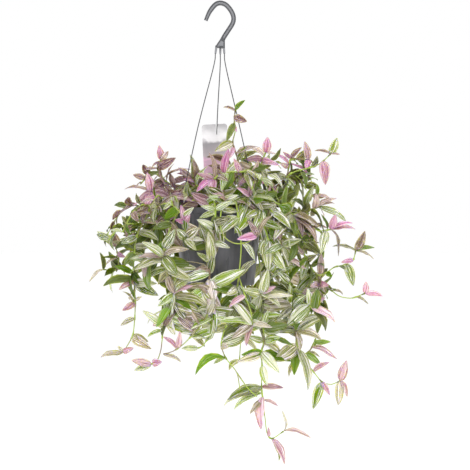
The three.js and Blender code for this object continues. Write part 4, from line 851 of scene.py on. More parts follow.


# %% [markdown]
# The plant is a set of shoots. Each shoot is a path of points, from the soil or from its parent's stem,
# and its leaves: the place on the path (2.5 is half way from point 2 to point 3), the leaf's tip, the
# width that the viewer sees and the mood, which says how the leaf is coloured. Three leaves also have
# their own sideways bend. The paths, tips and widths are those that the CAD model was made from, so each
# blade lies round the solid that stands for it, while a few moods are set anew for the look.

# %% Shoots whose leaves are listed one by one
SHOOTS = [
    ("stem_crown_tall", [
        (10, -8, -348), (18, -10, -320), (26, -14, -290), (29, -18, -262), (25, -20, -245),
        (20, -22, -230), (24, -22, -213), (23, -22, -198), (23, -22, -188), (24.5, -22, -177),
    ], [
        (9, (4, -26, -172), 5, "mauve"), (9, (41, -30, -160), 7, "vivid"),
        (8, (44, -34, -196), 12, "mauve"), (7, (10, -36, -229), 10, "vivid"),
        (6.6, (27, -36, -214), 5, "pink"), (5, (-10, -40, -246), 14, "green"),
        (4.5, (14, -38, -258), 8, "pink"), (3.2, (43, -28, -236), 9, "green"),
        (3, (7, -44, -283), 12, "green"), (2.8, (62, -40, -277), 15, "mauve"),
        (1.6, (-2, -36, -312), 12, "green"), (2, (52, -34, -306), 12, "green"),
        (2.3, (2, -40, -292), 10, "mauve"),
    ]),
    ("stem_crown_arch", [
        (40, -22, -348), (56, -36, -312), (60, -46, -290), (42, -56, -280), (16, -62, -280),
        (0, -64, -284), (-11, -65, -292),
    ], [
        (6, (-38, -72, -283), 9, "pink"), (6, (-39, -76, -313), 10, "pink"),
        (6, (-16, -82, -323), 13, "pink"), (5.7, (-19, -74, -249), 8, "mauve"),
        (4.6, (14, -76, -242), 12, "pink"), (4.4, (2, -86, -312), 12, "green"),
        (2.2, (30, -72, -302), 10, "mauve"), (3.4, (22, -76, -258), 9, "pink"),
        (1, (86, -54, -318), 10, "green"), (5.4, (14, -84, -296), 10, "green"),
        (3, (52, -76, -312), 11, "green"),
    ]),
    ("stem_crown_left", [
        (-14, 6, -348), (-26, 2, -322), (-38, -4, -303), (-48, -8, -288),
    ], [
        (3, (-51, -16, -249), 8, "green"), (2.6, (-46, -24, -257), 9, "mauve"),
        (3, (-70, -20, -271), 10, "mauve"), (3, (-73, -10, -281), 6, "pink"),
        (2.5, (-62, -34, -292), 7, "pink"), (2, (-28, -20, -281), 8, "mauve"),
        (1.5, (-12, -24, -300), 12, "green"), (1.5, (-64, -32, -318), 12, "green"),
        (1, (-30, -42, -324), 12, "green"),
    ]),
    ("stem_left_high", [
        (-36, 8, -348), (-50, 4, -318), (-75, 0, -304), (-92, -2, -293), (-101, -6, -281),
        (-105, -8, -272), (-99, -12, -258),
    ], [
        (6, (-102, -18, -234), 11, "pink"), (6, (-86, -24, -244), 9, "mauve"),
        (5, (-74, -24, -255), 14, "mauve"), (5.8, (-114, -14, -270), 4, "mauve"),
        (5, (-131, -12, -278), 5, "mauve"), (3, (-118, -16, -299), 12, "mauve"),
        (2.2, (-82, -14, -282), 8, "mauve"), (2.6, (-104, -16, -306), 7, "mauve"),
    ]),
    ("stem_left_pink", [
        (-50, -12, -348), (-68, -16, -322), (-90, -22, -318), (-105, -25, -316), (-115, -28, -311),
    ], [
        (4, (-121, -34, -280), 14, "pink"), (4, (-139, -36, -330), 10, "pink"),
        (4, (-122, -42, -343), 13, "pink"), (4, (-159, -34, -308), 5, "mauve"),
        (2, (-54, -48, -317), 11, "mauve"), (2.5, (-96, -44, -340), 12, "green"),
        (1.4, (-92, -44, -302), 11, "mauve"),
    ]),
    ("stem_left_thin", [
        (-50, 4, -348), (-69, 5, -326), (-95, 8, -328), (-118, 6, -338), (-139, 4, -334),
    ], [
        (4, (-170, 0, -348), 6, "mauve"), (4, (-159, 10, -331), 4, "mauve"),
        (3.6, (-121, -8, -350), 6, "pink"), (3, (-108, -10, -358), 10, "green"),
        (2, (-80, -10, -346), 12, "green"), (1.5, (-60, -12, -300), 9, "green"),
    ]),
    ("stem_left_long", [
        (-46, -26, -348), (-68, -36, -325), (-95, -44, -323), (-113, -48, -333), (-121, -50, -351),
        (-130, -52, -368), (-137, -52, -386), (-141, -50, -412), (-143, -48, -445), (-142, -46, -462),
        (-140, -44, -490), (-141, -42, -520), (-144, -40, -547), (-152, -38, -563), (-161, -36, -577),
    ], [
        (8.5, (-192, -60, -467), 13, "vivid"), (8, (-174, -52, -434), 9, "vivid"),
        (8.8, (-166, -66, -473), 10, "pink"), (10.2, (-161, -54, -507), 10, "pink"),
        (10, (-129, -48, -484), 5, "mauve"), (12, (-118, -46, -559), 8, "mauve"),
        (12.3, (-113, -54, -570), 14, "mauve"), (13.9, (-142, -52, -568), 9, "pink"),
        (14, (-198, -40, -585), 8, "mauve"), (13.8, (-170, -34, -566), 6, "mauve"),
        (10.3, (-162, -40, -476), 3, "mauve"), (6, (-163, -60, -397), 12, "green"),
        (7, (-158, -62, -432), 14, "vivid"), (8, (-112, -66, -424), 12, "green"),
        (8.7, (-101, -62, -482), 17, "green"), (9, (-103, -64, -462), 13, "green"),
        (3, (-98, -68, -347), 12, "green"), (4.6, (-98, -72, -366), 9, "mauve"),
        (5.5, (-100, -80, -392), 12, "green"), (2, (-70, -64, -346), 12, "green"),
        (11, (-164, -50, -532), 8, "mauve"), (6.6, (-112, -70, -400), 10, "white"),
    ]),
    ("stem_left_far", [
        (-50, 18, -348), (-70, 26, -324), (-100, 32, -334), (-125, 32, -365), (-147, 28, -402),
        (-162, 24, -432), (-172, 20, -441), (-171, 18, -424), (-176, 16, -402),
    ], [
        (8, (-207, 10, -377), 12, "white"), (8, (-179, 0, -377), 18, "mauve"),
        (7.2, (-192, 8, -434), 4, "mauve"), (7.5, (-158, 2, -420), 8, "pink"),
        (4, (-128, 10, -424), 11, "green"), (3, (-146, 14, -350), 6, "green"),
        (2, (-110, 10, -366), 12, "green"),
    ]),
    ("stem_left_far", [
        (-162, 24, -432), (-178, 26, -442), (-197, 24, -441),
    ], [
        (2, (-203, 18, -412), 7, "vivid"), (2, (-221, 20, -462), 5, "mauve"),
        (1.2, (-181, 18, -480), 5, "green", 0.12),
    ]),
    ("stem_left_small", [
        (-46, 30, -348), (-64, 38, -325), (-92, 44, -338), (-118, 46, -368), (-134, 44, -387),
        (-148, 40, -377), (-153, 38, -369),
    ], [
        (6, (-167, 32, -351), 10, "green"), (5.4, (-166, 36, -378), 4, "mauve"),
        (4.6, (-160, 30, -391), 7, "pink"), (5, (-142, 30, -352), 6, "mauve"),
        (3, (-98, 30, -392), 12, "green"), (2, (-112, 40, -330), 10, "green"),
    ]),
    ("stem_pink_front", [
        (-36, -36, -348), (-58, -54, -323), (-80, -68, -322), (-77, -84, -334), (-65, -94, -347),
        (-57, -97, -362), (-56, -96, -388),
    ], [
        (5, (-64, -104, -334), 10, "pink"), (5, (-73, -104, -358), 8, "pink"),
        (5, (-48, -108, -350), 10, "pink"), (2.6, (-93, -84, -342), 7, "white"),
        (1.6, (-45, -76, -329), 7, "mauve"), (4.6, (-42, -112, -338), 9, "white"),
        (6, (-38, -112, -408), 11, "green"), (6, (-34, -110, -371), 16, "green"),
        (6, (-26, -108, -392), 9, "white"), (6, (-70, -108, -373), 14, "green"),
        (3.5, (-90, -98, -356), 13, "vivid"),
    ]),
    ("stem_front_left", [
        (-24, -44, -348), (-42, -68, -326), (-64, -80, -340), (-78, -84, -365), (-88, -90, -392),
        (-92, -94, -418), (-84, -96, -450), (-75, -95, -478), (-79, -94, -497), (-87, -92, -516),
        (-93, -90, -533), (-94, -88, -550), (-96, -86, -568), (-101, -84, -584), (-112, -83, -593),
    ], [
        (5, (-126, -104, -394), 12, "white"), (5, (-134, -98, -421), 8, "mauve"),
        (5.2, (-138, -106, -440), 12, "green"), (5, (-69, -112, -448), 18, "green"),
        (4.9, (-49, -114, -406), 10, "mauve"), (5.5, (-46, -112, -456), 15, "green"),
        (4.5, (-72, -112, -373), 15, "green"), (7, (-101, -104, -498), 12, "green"),
        (7, (-46, -110, -454), 9, "green"), (7, (-43, -114, -465), 8, "pink"),
        (7.2, (-22, -112, -498), 13, "mauve"), (7.3, (-46, -108, -504), 10, "vivid"),
        (8, (-103, -102, -532), 12, "vivid"), (10, (-126, -98, -505), 11, "white"),
        (10.3, (-118, -90, -549), 6, "green"), (14, (-144, -88, -586), 12, "pink"),
        (14, (-140, -84, -603), 10, "green"), (13.8, (-94, -94, -588), 12, "pink"),
    ]),
    ("stem_front_middle", [
        (-8, -44, -348), (-10, -72, -326), (-8, -88, -342), (-10, -94, -380), (-15, -96, -425),
        (-18, -94, -465), (-13, -92, -500), (-10, -88, -530), (-12, -86, -548), (-22, -84, -554),
        (-28, -82, -563), (-36, -80, -567),
    ], [
        (4, (-28, -106, -377), 13, "green"), (4, (-19, -118, -377), 14, "green"),
        (4, (-38, -104, -411), 9, "green"), (5, (41, -112, -438), 20, "green"),
        (5.3, (-36, -106, -463), 12, "mauve"), (6.5, (-51, -104, -527), 4, "mauve"),
        (6.5, (-54, -100, -538), 12, "green"), (7, (-79, -98, -520), 12, "green"),
        (7.4, (-46, -92, -549), 16, "green"), (11, (-63, -84, -567), 9, "green"),
        (2.8, (-38, -106, -358), 12, "green"), (2.6, (18, -110, -356), 12, "green"),
        (2, (-32, -102, -336), 9, "white"), (2, (20, -98, -328), 10, "green"),
        (3.4, (16, -112, -404), 9, "green"),
    ]),
    ("stem_front_middle", [
        (-13, -92, -500), (-30, -98, -528), (-46, -98, -546), (-61, -96, -561), (-76, -94, -571),
        (-92, -92, -576),
    ], [
        (3.5, (-65, -104, -537), 9, "pink"), (3.6, (-93, -100, -547), 7, "pink"),
        (5, (-63, -98, -589), 6, "mauve"),
    ]),
    ("stem_front_loop", [
        (8, -42, -348), (6, -70, -325), (2, -88, -340), (0, -98, -365), (4, -101, -381),
        (12, -102, -391), (26, -102, -397), (44, -102, -395), (60, -100, -384),
    ], [
        (8, (27, -114, -390), 12, "pink"), (8, (45, -112, -360), 9, "mauve"),
        (2, (30, -104, -345), 10, "green"), (8, (84, -114, -352), 8, "mauve"),
        (1, (30, -86, -318), 10, "green"), (1, (-20, -90, -320), 12, "green"),
        (3, (-24, -114, -368), 10, "white"), (6.6, (56, -112, -424), 9, "green"),
    ]),
    ("stem_front_mauve", [
        (24, -30, -348), (36, -48, -326), (48, -66, -320),
    ], [
        (2, (34, -86, -363), 13, "white"), (2, (57, -74, -289), 9, "mauve"),
        (2, (26, -80, -306), 8, "pink"), (2, (92, -82, -331), 7, "green"),
        (2, (70, -90, -345), 10, "green"), (1.6, (84, -86, -362), 12, "green"),
        (1.4, (12, -70, -334), 10, "green"),
    ]),
    ("stem_right_high", [
        (30, 4, -348), (46, 2, -318), (60, 0, -290), (66, -4, -272), (70, -6, -257), (75, -8, -246),
    ], [
        (5, (78, -14, -220), 14, "pink"), (4.5, (44, -18, -235), 8, "mauve"),
        (5, (93, -10, -249), 4, "mauve"), (3, (79, -24, -303), 11, "white"),
        (3, (103, -22, -306), 9, "white"), (4, (40, -20, -258), 12, "pink"),
        (3.5, (98, -20, -268), 8, "pink"), (2, (96, -24, -314), 9, "mauve"),
        (4, (88, -26, -262), 8, "pink"), (1.6, (60, -30, -322), 9, "green"),
    ]),
    ("stem_right_crest", [
        (40, 14, -348), (66, 18, -318), (95, 22, -302), (110, 22, -288), (114, 20, -270),
        (118, 18, -254), (132, 16, -256), (147, 14, -257),
    ], [
        (7, (140, 6, -226), 11, "pink"), (7, (143, 4, -274), 10, "pink"),
        (5, (136, 10, -236), 8, "mauve"), (5, (104, 8, -244), 6, "pink"),
        (4.2, (92, 8, -248), 6, "pink"), (4, (98, 6, -262), 8, "pink"),
        (3, (126, 6, -298), 16, "mauve"), (2.6, (147, 10, -301), 7, "mauve"),
        (7, (155, 12, -262), 4, "mauve"), (3, (84, 8, -276), 10, "green"),
        (4.4, (147, 6, -284), 5, "pink"),
    ]),
    ("stem_right_tip", [
        (44, 2, -348), (70, 4, -320), (98, 6, -298), (118, 4, -280), (140, 2, -273), (160, 0, -267),
        (171, -2, -260), (183, -4, -248),
    ], [
        (7, (194, -10, -221), 13, "white"), (7, (156, -8, -243), 5, "mauve"),
        (7, (199, -6, -249), 4, "mauve"), (6, (174, -14, -300), 16, "pink"),
        (2.5, (128, -12, -312), 10, "green"), (1.5, (104, -10, -330), 14, "green"),
        (2.5, (84, -8, -282), 8, "green"),
    ]),
    ("stem_right_front", [
        (46, -30, -348), (60, -44, -325), (90, -56, -330), (108, -62, -340), (119, -66, -350),
    ], [
        (4, (87, -92, -391), 17, "green"), (4, (156, -84, -397), 10, "mauve"),
        (4, (165, -80, -372), 9, "mauve"), (4, (134, -86, -387), 9, "mauve"),
        (3.4, (95, -84, -334), 20, "vivid"), (2, (72, -72, -352), 12, "green"),
        (3, (110, -58, -300), 8, "vivid"), (3.5, (126, -60, -318), 8, "green"),
    ]),
    ("stem_right_front", [
        (119, -66, -350), (140, -62, -343), (160, -58, -337), (158, -54, -318),
    ], [
        (2, (206, -66, -362), 10, "green"), (2, (191, -62, -323), 6, "mauve"),
        (2.2, (188, -50, -332), 5, "mauve"), (1, (153, -68, -302), 10, "white"),
        (3, (158, -54, -299), 6, "vivid"), (3, (181, -58, -326), 5, "mauve"),
        (1.5, (150, -40, -352), 8, "mauve"),
    ]),
    ("stem_right_front", [
        (119, -66, -350), (138, -72, -362), (160, -76, -376), (180, -76, -374),
    ], [
        (3, (187, -84, -349), 12, "pink"), (3, (216, -80, -364), 6, "pink"),
        (3, (221, -72, -374), 6, "pink"), (2.6, (163, -90, -414), 14, "white"),
        (3, (192, -78, -418), 5, "mauve"),
    ]),
    ("stem_right_far", [
        (54, -8, -348), (73, -14, -324), (100, -20, -335), (122, -26, -370), (138, -30, -415),
        (158, -32, -448), (175, -33, -445), (188, -34, -436), (205, -35, -432), (219, -35, -424),
        (223, -36, -409),
    ], [
        (10, (238, -42, -376), 13, "mauve"), (10, (254, -40, -404), 7, "vivid"),
        (10, (184, -40, -402), 5, "green"), (10, (254, -30, -424), 4, "mauve"),
        (8.2, (219, -44, -467), 14, "green"), (9, (198, -46, -428), 8, "pink"),
        (6, (184, -42, -452), 8, "vivid"), (4.3, (132, -48, -457), 12, "green"),
        (4, (118, -46, -400), 8, "mauve"), (5.4, (166, -44, -412), 11, "mauve"),
        (3, (104, -46, -352), 12, "green"), (3.4, (152, -46, -394), 12, "green"),
        (5, (124, -46, -484), 12, "green"), (2.4, (132, -34, -344), 10, "green"),
    ]),
    ("stem_right_far", [
        (158, -32, -448), (162, -36, -464), (160, -38, -486), (154, -38, -500),
    ], [
        (1, (147, -50, -468), 10, "pink"), (1, (178, -50, -466), 10, "pink"),
        (1.8, (149, -48, -513), 9, "vivid"), (2.4, (158, -50, -509), 10, "pink"),
        (2.6, (173, -44, -486), 7, "pink"),
    ]),
    ("stem_right_low", [
        (54, 8, -348), (73, 12, -324), (98, 16, -345), (118, 14, -390), (134, 8, -430), (150, 2, -455),
        (168, -2, -464), (184, -6, -475), (198, -9, -485), (218, -11, -488), (240, -12, -480),
    ], [
        (10, (241, -16, -460), 10, "pink"), (10, (269, -18, -485), 8, "pink"),
        (9.3, (246, -8, -498), 4, "mauve"), (7, (204, -8, -483), 4, "mauve", 0.12),
        (7, (172, -14, -461), 6, "mauve"), (5, (142, -10, -490), 12, "green"),
        (4, (160, -6, -416), 12, "green"), (3, (98, -8, -412), 12, "green"),
        (3.6, (148, 10, -376), 10, "green"), (4.6, (112, -8, -456), 12, "green"),
    ]),
    ("stem_trail_front", [
        (32, -42, -348), (48, -62, -324), (62, -80, -345), (78, -88, -392), (74, -90, -440),
        (66, -92, -478), (69, -90, -515), (71, -88, -555), (67, -86, -572), (68, -85, -600),
        (67, -84, -630), (70, -84, -655), (73, -83, -682), (76, -82, -705), (84, -82, -714),
        (103, -80, -702),
    ], [
        (3, (78, -104, -442), 18, "green"), (3.2, (106, -102, -441), 18, "green"),
        (4.6, (126, -104, -432), 10, "white"), (5, (77, -110, -437), 15, "green"),
        (5, (36, -108, -470), 14, "green"), (5, (98, -110, -501), 10, "white"),
        (5.3, (118, -108, -481), 10, "green"), (4.9, (90, -106, -466), 9, "pink"),
        (8, (34, -98, -577), 12, "vivid"), (8, (96, -100, -606), 15, "green"),
        (8.2, (27, -96, -588), 13, "mauve"), (8.8, (76, -98, -627), 12, "green"),
        (8.4, (88, -94, -588), 9, "vivid"), (10, (12, -94, -652), 10, "green"),
        (10.2, (5, -90, -663), 9, "white"), (10.4, (22, -98, -667), 8, "green"),
        (10.6, (66, -98, -698), 14, "pink"), (10.8, (48, -94, -673), 8, "mauve"),
        (10, (103, -88, -631), 9, "pink"), (10.8, (94, -90, -661), 5, "pink"),
        (14, (104, -90, -755), 10, "pink"), (14, (95, -84, -751), 6, "green"),
        (13.5, (78, -88, -694), 5, "pink"), (15, (100, -84, -667), 4, "mauve"),
        (15, (148, -86, -713), 5, "pink"), (6, (100, -100, -512), 9, "green"),
        (2, (40, -104, -354), 12, "green"), (2.4, (100, -104, -374), 13, "green"),
        (1.6, (90, -92, -336), 12, "green"), (7, (98, -98, -548), 12, "green"),
        (7, (44, -98, -546), 10, "white"),
    ]),
    ("stem_trail_right", [
        (42, -42, -348), (56, -52, -326), (84, -76, -345), (100, -82, -400), (112, -80, -460),
        (118, -76, -500), (123, -72, -537), (126, -70, -568), (138, -68, -588), (152, -66, -606),
        (166, -66, -623), (181, -66, -627), (196, -66, -621),
    ], [
        (4, (142, -92, -419), 9, "vivid"), (6, (174, -84, -516), 13, "white"),
        (5.6, (156, -82, -513), 10, "white"), (6, (165, -82, -554), 12, "mauve"),
        (6.1, (128, -88, -572), 8, "mauve"), (7, (120, -84, -611), 14, "vivid"),
        (7, (142, -82, -636), 13, "green"), (7.2, (138, -78, -616), 9, "white"),
        (6.8, (87, -88, -588), 22, "green"), (10, (151, -74, -667), 14, "green"),
        (10, (179, -74, -644), 8, "pink"), (12, (206, -72, -587), 14, "pink"),
        (12, (192, -76, -661), 14, "mauve"), (12, (207, -70, -648), 7, "pink"),
        (7.5, (112, -80, -615), 7, "mauve"), (5, (140, -90, -480), 12, "green"),
        (5, (92, -90, -520), 12, "green"), (4, (92, -100, -440), 12, "green"),
        (2, (114, -98, -374), 13, "green"), (3, (132, -96, -390), 12, "green"),
        (3, (70, -108, -414), 12, "green"), (9, (178, -76, -590), 8, "pink"),
    ]),
    ("stem_trail_right", [
        (126, -70, -568), (138, -58, -578), (147, -54, -572), (154, -52, -559),
    ], [
        (3, (181, -58, -558), 8, "vivid"), (2.4, (191, -60, -586), 7, "pink"),
        (1.6, (163, -56, -583), 4, "mauve"), (1.4, (164, -64, -595), 10, "vivid"),
    ]),
    ("stem_trail_middle", [
        (18, -44, -348), (24, -70, -325), (28, -86, -345), (34, -91, -400), (30, -94, -450),
        (22, -96, -500), (6, -98, -540), (2, -96, -562), (9, -94, -582), (27, -92, -606),
        (32, -92, -634),
    ], [
        (8, (-40, -104, -609), 11, "vivid", -0.2), (8, (-11, -92, -592), 6, "green"),
        (5.5, (-8, -106, -515), 9, "white"), (7, (14, -110, -564), 11, "mauve"),
        (4, (60, -108, -424), 10, "green"), (4.4, (10, -110, -480), 12, "green"),
    ]),
    ("stem_trail_middle", [
        (27, -92, -606), (44, -94, -630), (60, -98, -645),
    ], []),
    ("stem_trail_middle", [
        (30, -94, -450), (40, -104, -480), (50, -106, -508), (52, -106, -528),
    ], [
        (3, (-4, -114, -523), 10, "white"), (3, (42, -112, -562), 9, "pink"),
        (3, (18, -118, -550), 12, "mauve"), (3, (14, -108, -488), 13, "green"),
        (3, (84, -112, -532), 8, "mauve"), (1, (14, -112, -500), 9, "pink"),
    ]),
]


# %% Shoots that follow a rule
# Azimuth, reach, drop, leaves, length, mood
TRAILING = [
    (30, 122, 96, 5, 42, "green"), (42, 104, 196, 7, 44, "green"), (54, 128, 60, 4, 38, "mauve"),
    (66, 108, 250, 8, 44, "green"), (79, 124, 120, 5, 42, "white"), (106, 106, 210, 7, 42, "green"),
    (118, 128, 84, 5, 40, "pink"), (130, 108, 160, 6, 44, "green"),
]
# Azimuth, radius, lean, height, leaves, length, mood
CROWN = [
    (217, 30, 16, 48, 4, 40, "green"), (268, 24, 22, 56, 4, 38, "green"), (45, 24, 8, 84, 5, 40, "mauve"),
    (122, 30, 18, 66, 4, 38, "green"), (32, 46, 22, 70, 4, 38, "green"), (100, 52, 26, 58, 4, 38, "green"),
]
SIDE_SHOOT_SHARE = 0.85


def around(azimuth, radius, height):
    """A point over the soil at an angle and a radius from the pot's axis."""
    turn = math.radians(azimuth)
    return POT_X + radius * math.cos(turn), radius * math.sin(turn), SOIL_Z + height


def trailing_path(azimuth, reach, drop):
    """Over the rim and down behind the pot, swinging a few degrees as it falls."""
    return [
        around(azimuth, 52, 0), around(azimuth + 1, 70, 24), around(azimuth + 3, 0.5 * reach + 40, 20),
        around(azimuth + 5, 0.9 * reach, -0.2 * drop), around(azimuth + 2, reach, -0.6 * drop),
        around(azimuth + 6, reach + 8, -drop),
    ]


def crown_path(azimuth, radius, lean, height):
    """Up out of the soil, leaning outward more and more."""
    return [
        around(azimuth, radius, 0), around(azimuth + 2, radius + 0.2 * lean, 0.4 * height),
        around(azimuth - 2, radius + 0.6 * lean, 0.75 * height),
        around(azimuth + 4, radius + lean, height),
    ]


def is_rooted(shoot):
    """True where the shoot starts at the soil and not on another stem."""
    return abs(shoot["path"][0][2] - SOIL_Z) < 0.01


shoots = [{"node": node, "path": path, "leaves": leaves, "rule": None} for node, path, leaves in SHOOTS]
for part, path_of, table in (("back", trailing_path, TRAILING), ("crown", crown_path, CROWN)):
    for number, row in enumerate(table, 1):
        path = path_of(*row[:-3])
        shoots.append({"node": f"stem_{part}_{number}", "path": path, "leaves": [], "rule": row[-3:]})
for shoot in shoots:
    shoot["path"] = np.array(shoot["path"], dtype=float)
    shoot["radii"] = np.array([STEM_R, STEM_TIP_R]) * (1 if is_rooted(shoot) else SIDE_SHOOT_SHARE)
print("shoots:", len(shoots))


# %% [markdown]
# The CAD model tries several depths or turns for each leaf until it crosses nothing, and the tip that it
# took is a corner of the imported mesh. So here the same tries are worked out from the same row of draws,
# and the one that is found among the node's corners is the leaf's place.

# %% Leaves where the CAD model has them
ROOT_SINK = 1.8
LEAF_SLIMNESS = 0.34
LEAF_FULLNESS = 1.15
HAND_SWAY = 0.06
DEPTH_TRIES = (0, -8, 8, -16, 16, -26, 26, 38)
TURN_TRIES = (0, 28, -28, 56, -56, 95, -95, 140)
BARE_SHARE = 0.34
RULE_SLIMNESS = 0.36
RULE_SWAY = 0.04


def number_row(seed):
    """Draws from 0 to 1: each state is the last one times 48271, modulo the prime 2147483647."""
    state = seed
    while True:
        state = state * 48271 % 2147483647
        yield state / 2147483647


def root_at(path, place):
    """The leaf's root, a little way back along the straight joint that the place is on, and its direction."""
    joint = max(math.ceil(place) - 1, 0)
    step = path[joint + 1] - path[joint]
    along = unit(step)
    return path[joint] + step * (place - joint) - along * ROOT_SINK, along


def leaves_by_eye(shoot, draws):
    """Leaf rows whose faces turn to the viewer as far as the width seen allows."""
    rows = []
    for place, tip, flat_width, mood, *given in shoot["leaves"]:
        base, _ = root_at(shoot["path"], place)
        tips = np.array(tip) + np.array([(0, depth, 0) for depth in DEPTH_TRIES])
        sway = given[0] if given else HAND_SWAY * (next(draws) - 0.5)
        seen = flat_width * LEAF_FULLNESS
        width = max(seen, LEAF_SLIMNESS * np.linalg.norm(base - tips[0]))
        rows.append({
            "place": place, "base": base, "tips": tips, "width": width, "sway": sway, "mood": mood,
            "roll": math.acos(min(1, seen / width)), "signed": False, "toward": np.array([0.0, -1, 0]),
        })
    return rows


def leaves_by_rule(shoot, draws):
    """Leaf rows on alternate sides of the stem, which turn their faces up and outward."""
    count, length, mood = shoot["rule"]
    end = len(shoot["path"]) - 1
    rows = []
    for index in range(count):
        place = end * (BARE_SHARE + (1 - BARE_SHARE) * (index + 1) / count)
        base, along = root_at(shoot["path"], place)
        out = unit(np.array([base[0] - POT_X, base[1], 0]))
        first = unit(out - along * (out @ along))
        second = np.cross(along, first)
        swing = math.radians(90 + 180 * index + 60 * (next(draws) - 0.5))
        reach = length * (0.78 + 0.4 * next(draws))
        lift = math.radians(52 + 16 * next(draws))
        roll = math.radians(50 * (next(draws) - 0.5))
        angle = swing + np.radians(TURN_TRIES)[:, None]
        heading = (along * math.cos(lift) + first * math.sin(lift) * (np.cos(angle) + 0.35)
                   + second * math.sin(lift) * np.sin(angle) + (0, 0, -0.22))
        rows.append({
            "place": place, "base": base, "tips": base + unit(heading) * reach,
            "width": RULE_SLIMNESS * reach, "sway": RULE_SWAY, "mood": mood, "roll": roll, "signed": True,
            "toward": out * 0.7 + (0, 0, 0.8),
        })
    return rows


def corners_of(node):
    """The node's mesh points in mm."""
    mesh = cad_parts[node].data
    points = np.empty(len(mesh.vertices) * 3, dtype=np.float32)
    mesh.vertices.foreach_get("co", points)
    return points.reshape(-1, 3) / MM


def taken(rows, corners):
    """Keeps the rows one of whose tips is a corner of the node, with that tip."""
    kept = []
    for row in rows:
        off = np.linalg.norm(row["tips"][:, None] - corners, axis=-1).min(axis=1)
        if off.min() < 0.05:
            kept.append({**row, "tip": row["tips"][off.argmin()], "extra": False})
    return kept


for index, shoot in enumerate(shoots):
    draws = number_row(index + 11)
    rows = leaves_by_rule(shoot, draws) if shoot["rule"] else leaves_by_eye(shoot, draws)
    shoot["rows"] = taken(rows, corners_of(shoot["node"]))
print("leaves found in the packed model:", sum(len(shoot["rows"]) for shoot in shoots))


# %% [markdown]
# A real shoot has a leaf at every joint, a finger's width apart, and many more than stand out in a
# picture. They fill the plant from inside: smaller, turned every way, and painted darker as shade. A
# seeded rule adds them, and drops any that would leave the model's box, enter the pot, cross a strand or
# the label, or cover a gap that the photo shows.

# %% More leaves along each shoot
cad_low, cad_high = (np.array(corner) / MM for corner in cad_box)
# How far the smaller leaves keep from the box, from the pot's wall, base and rim, and from the label's faces
BOX_KEEP = 2
KEEP = 4
BASE_KEEP = 6
RIM_KEEP = 7
LABEL_KEEP = 2.5
# The label leans: its middle lies this far to the right of its top, and no edge is further from there
LABEL_SHIFT = 4
LABEL_REACH = 26
# The big leaves in front stay free of the smaller ones, which keep behind this depth
FRONT_Y = -101
# Where the pot, the label or the air shows between the leaves: lowest and highest x and z
WINDOWS = [
    (7, 60, -435, -390), (30, 54, -464, -449), (20, 30, -358, -332), (-42, -22, -466, -450),
    (-60, -38, -426, -412), (-70, -58, -372, -360), (-33, 14, -262, -194), (-33, -12, -284, -262),
    (-14, 42, -468, -437), (-60, 80, -235, -150), (80, 104, -352, -330),
]
# The edge of the thick growth: below it only the hanging shoots' own leaves
EDGE_X = [-221, -130, -92, -34, 32, 100, 116, 150, 182, 269]
EDGE_Z = [-450, -520, -550, -556, -560, -600, -616, -606, -540, -420]
# Shares of a leaf's length at which it has to be clear
SAMPLES = np.linspace(0.15, 1.1, 6)[:, None]
STEM_TENSION = 0.35
STEPS_PER_JOINT = 40
# The first of the smaller leaves comes this far along a stem from the soil, or from another stem
START_FROM_SOIL = 14
START_FROM_STEM = 5
# Along a stem, these leaves keep this far from the solid ones
JOINT_SPACE = 3.5


def clear_of_holder(points):
    """True for each row of points that stays in the box, off the pot, strands and label, and out of gaps."""
    x, y, z = np.moveaxis(points, -1, 0)
    inside = (points > cad_low + BOX_KEEP).all(axis=(1, 2)) & (points < cad_high - BOX_KEEP).all(axis=(1, 2))
    radius = np.hypot(x - POT_X, y)
    base_z = RIM_Z - POT_HEIGHT
    in_pot = (radius < RIM_R + KEEP) & (z < SOIL_Z + 1) & (z > base_z - BASE_KEEP)
    in_rim = (np.abs(radius - RIM_R) < RIM_KEEP) & (z < RIM_Z + KEEP) & (z > base_z)
    by_label = (np.abs(x - LABEL_X - LABEL_SHIFT) < LABEL_REACH) & (z < LABEL_TOP_Z + KEEP)
    in_label = by_label & (np.abs(y - LABEL_Y) < LABEL_KEEP)
    below = z < np.interp(x, EDGE_X, EDGE_Z)
    ok = inside & ~(in_pot | in_rim | in_label | below | (y < FRONT_Y)).any(axis=1)
    for left, right, low, high in WINDOWS:
        ok &= ~((x > left) & (x < right) & (z > low) & (z < high) & (y < LABEL_Y)).any(axis=1)
    for run in strand_points.values():
        gap = np.linalg.norm(points[:, :, None] - run[None, None, ::3], axis=-1)
        ok &= gap.min(axis=(1, 2)) > KEEP
    return ok


def leaf_fits(base, tip):
    """True for each leaf whose midline, and a little beyond its tip, is clear."""
    return clear_of_holder(base[:, None] + (tip - base)[:, None] * SAMPLES)


def walk(path):
    """The smooth stem: its curve, places along it and the distance travelled at each place."""
    run = smooth_curve(path, STEM_TENSION)
    places = np.linspace(0, len(path) - 1, STEPS_PER_JOINT * (len(path) - 1) + 1)
    steps = np.linalg.norm(np.diff(run(places), axis=0), axis=1)
    return run, places, np.concatenate([[0], np.cumsum(steps)])


def young_share(points):
    """How young the growth at the points is: the crown's, most of all on its left."""
    return np.clip((points[:, 2] + 350) / 30, 0, 1) * np.clip((90 - points[:, 0]) / 90, 0.3, 1)


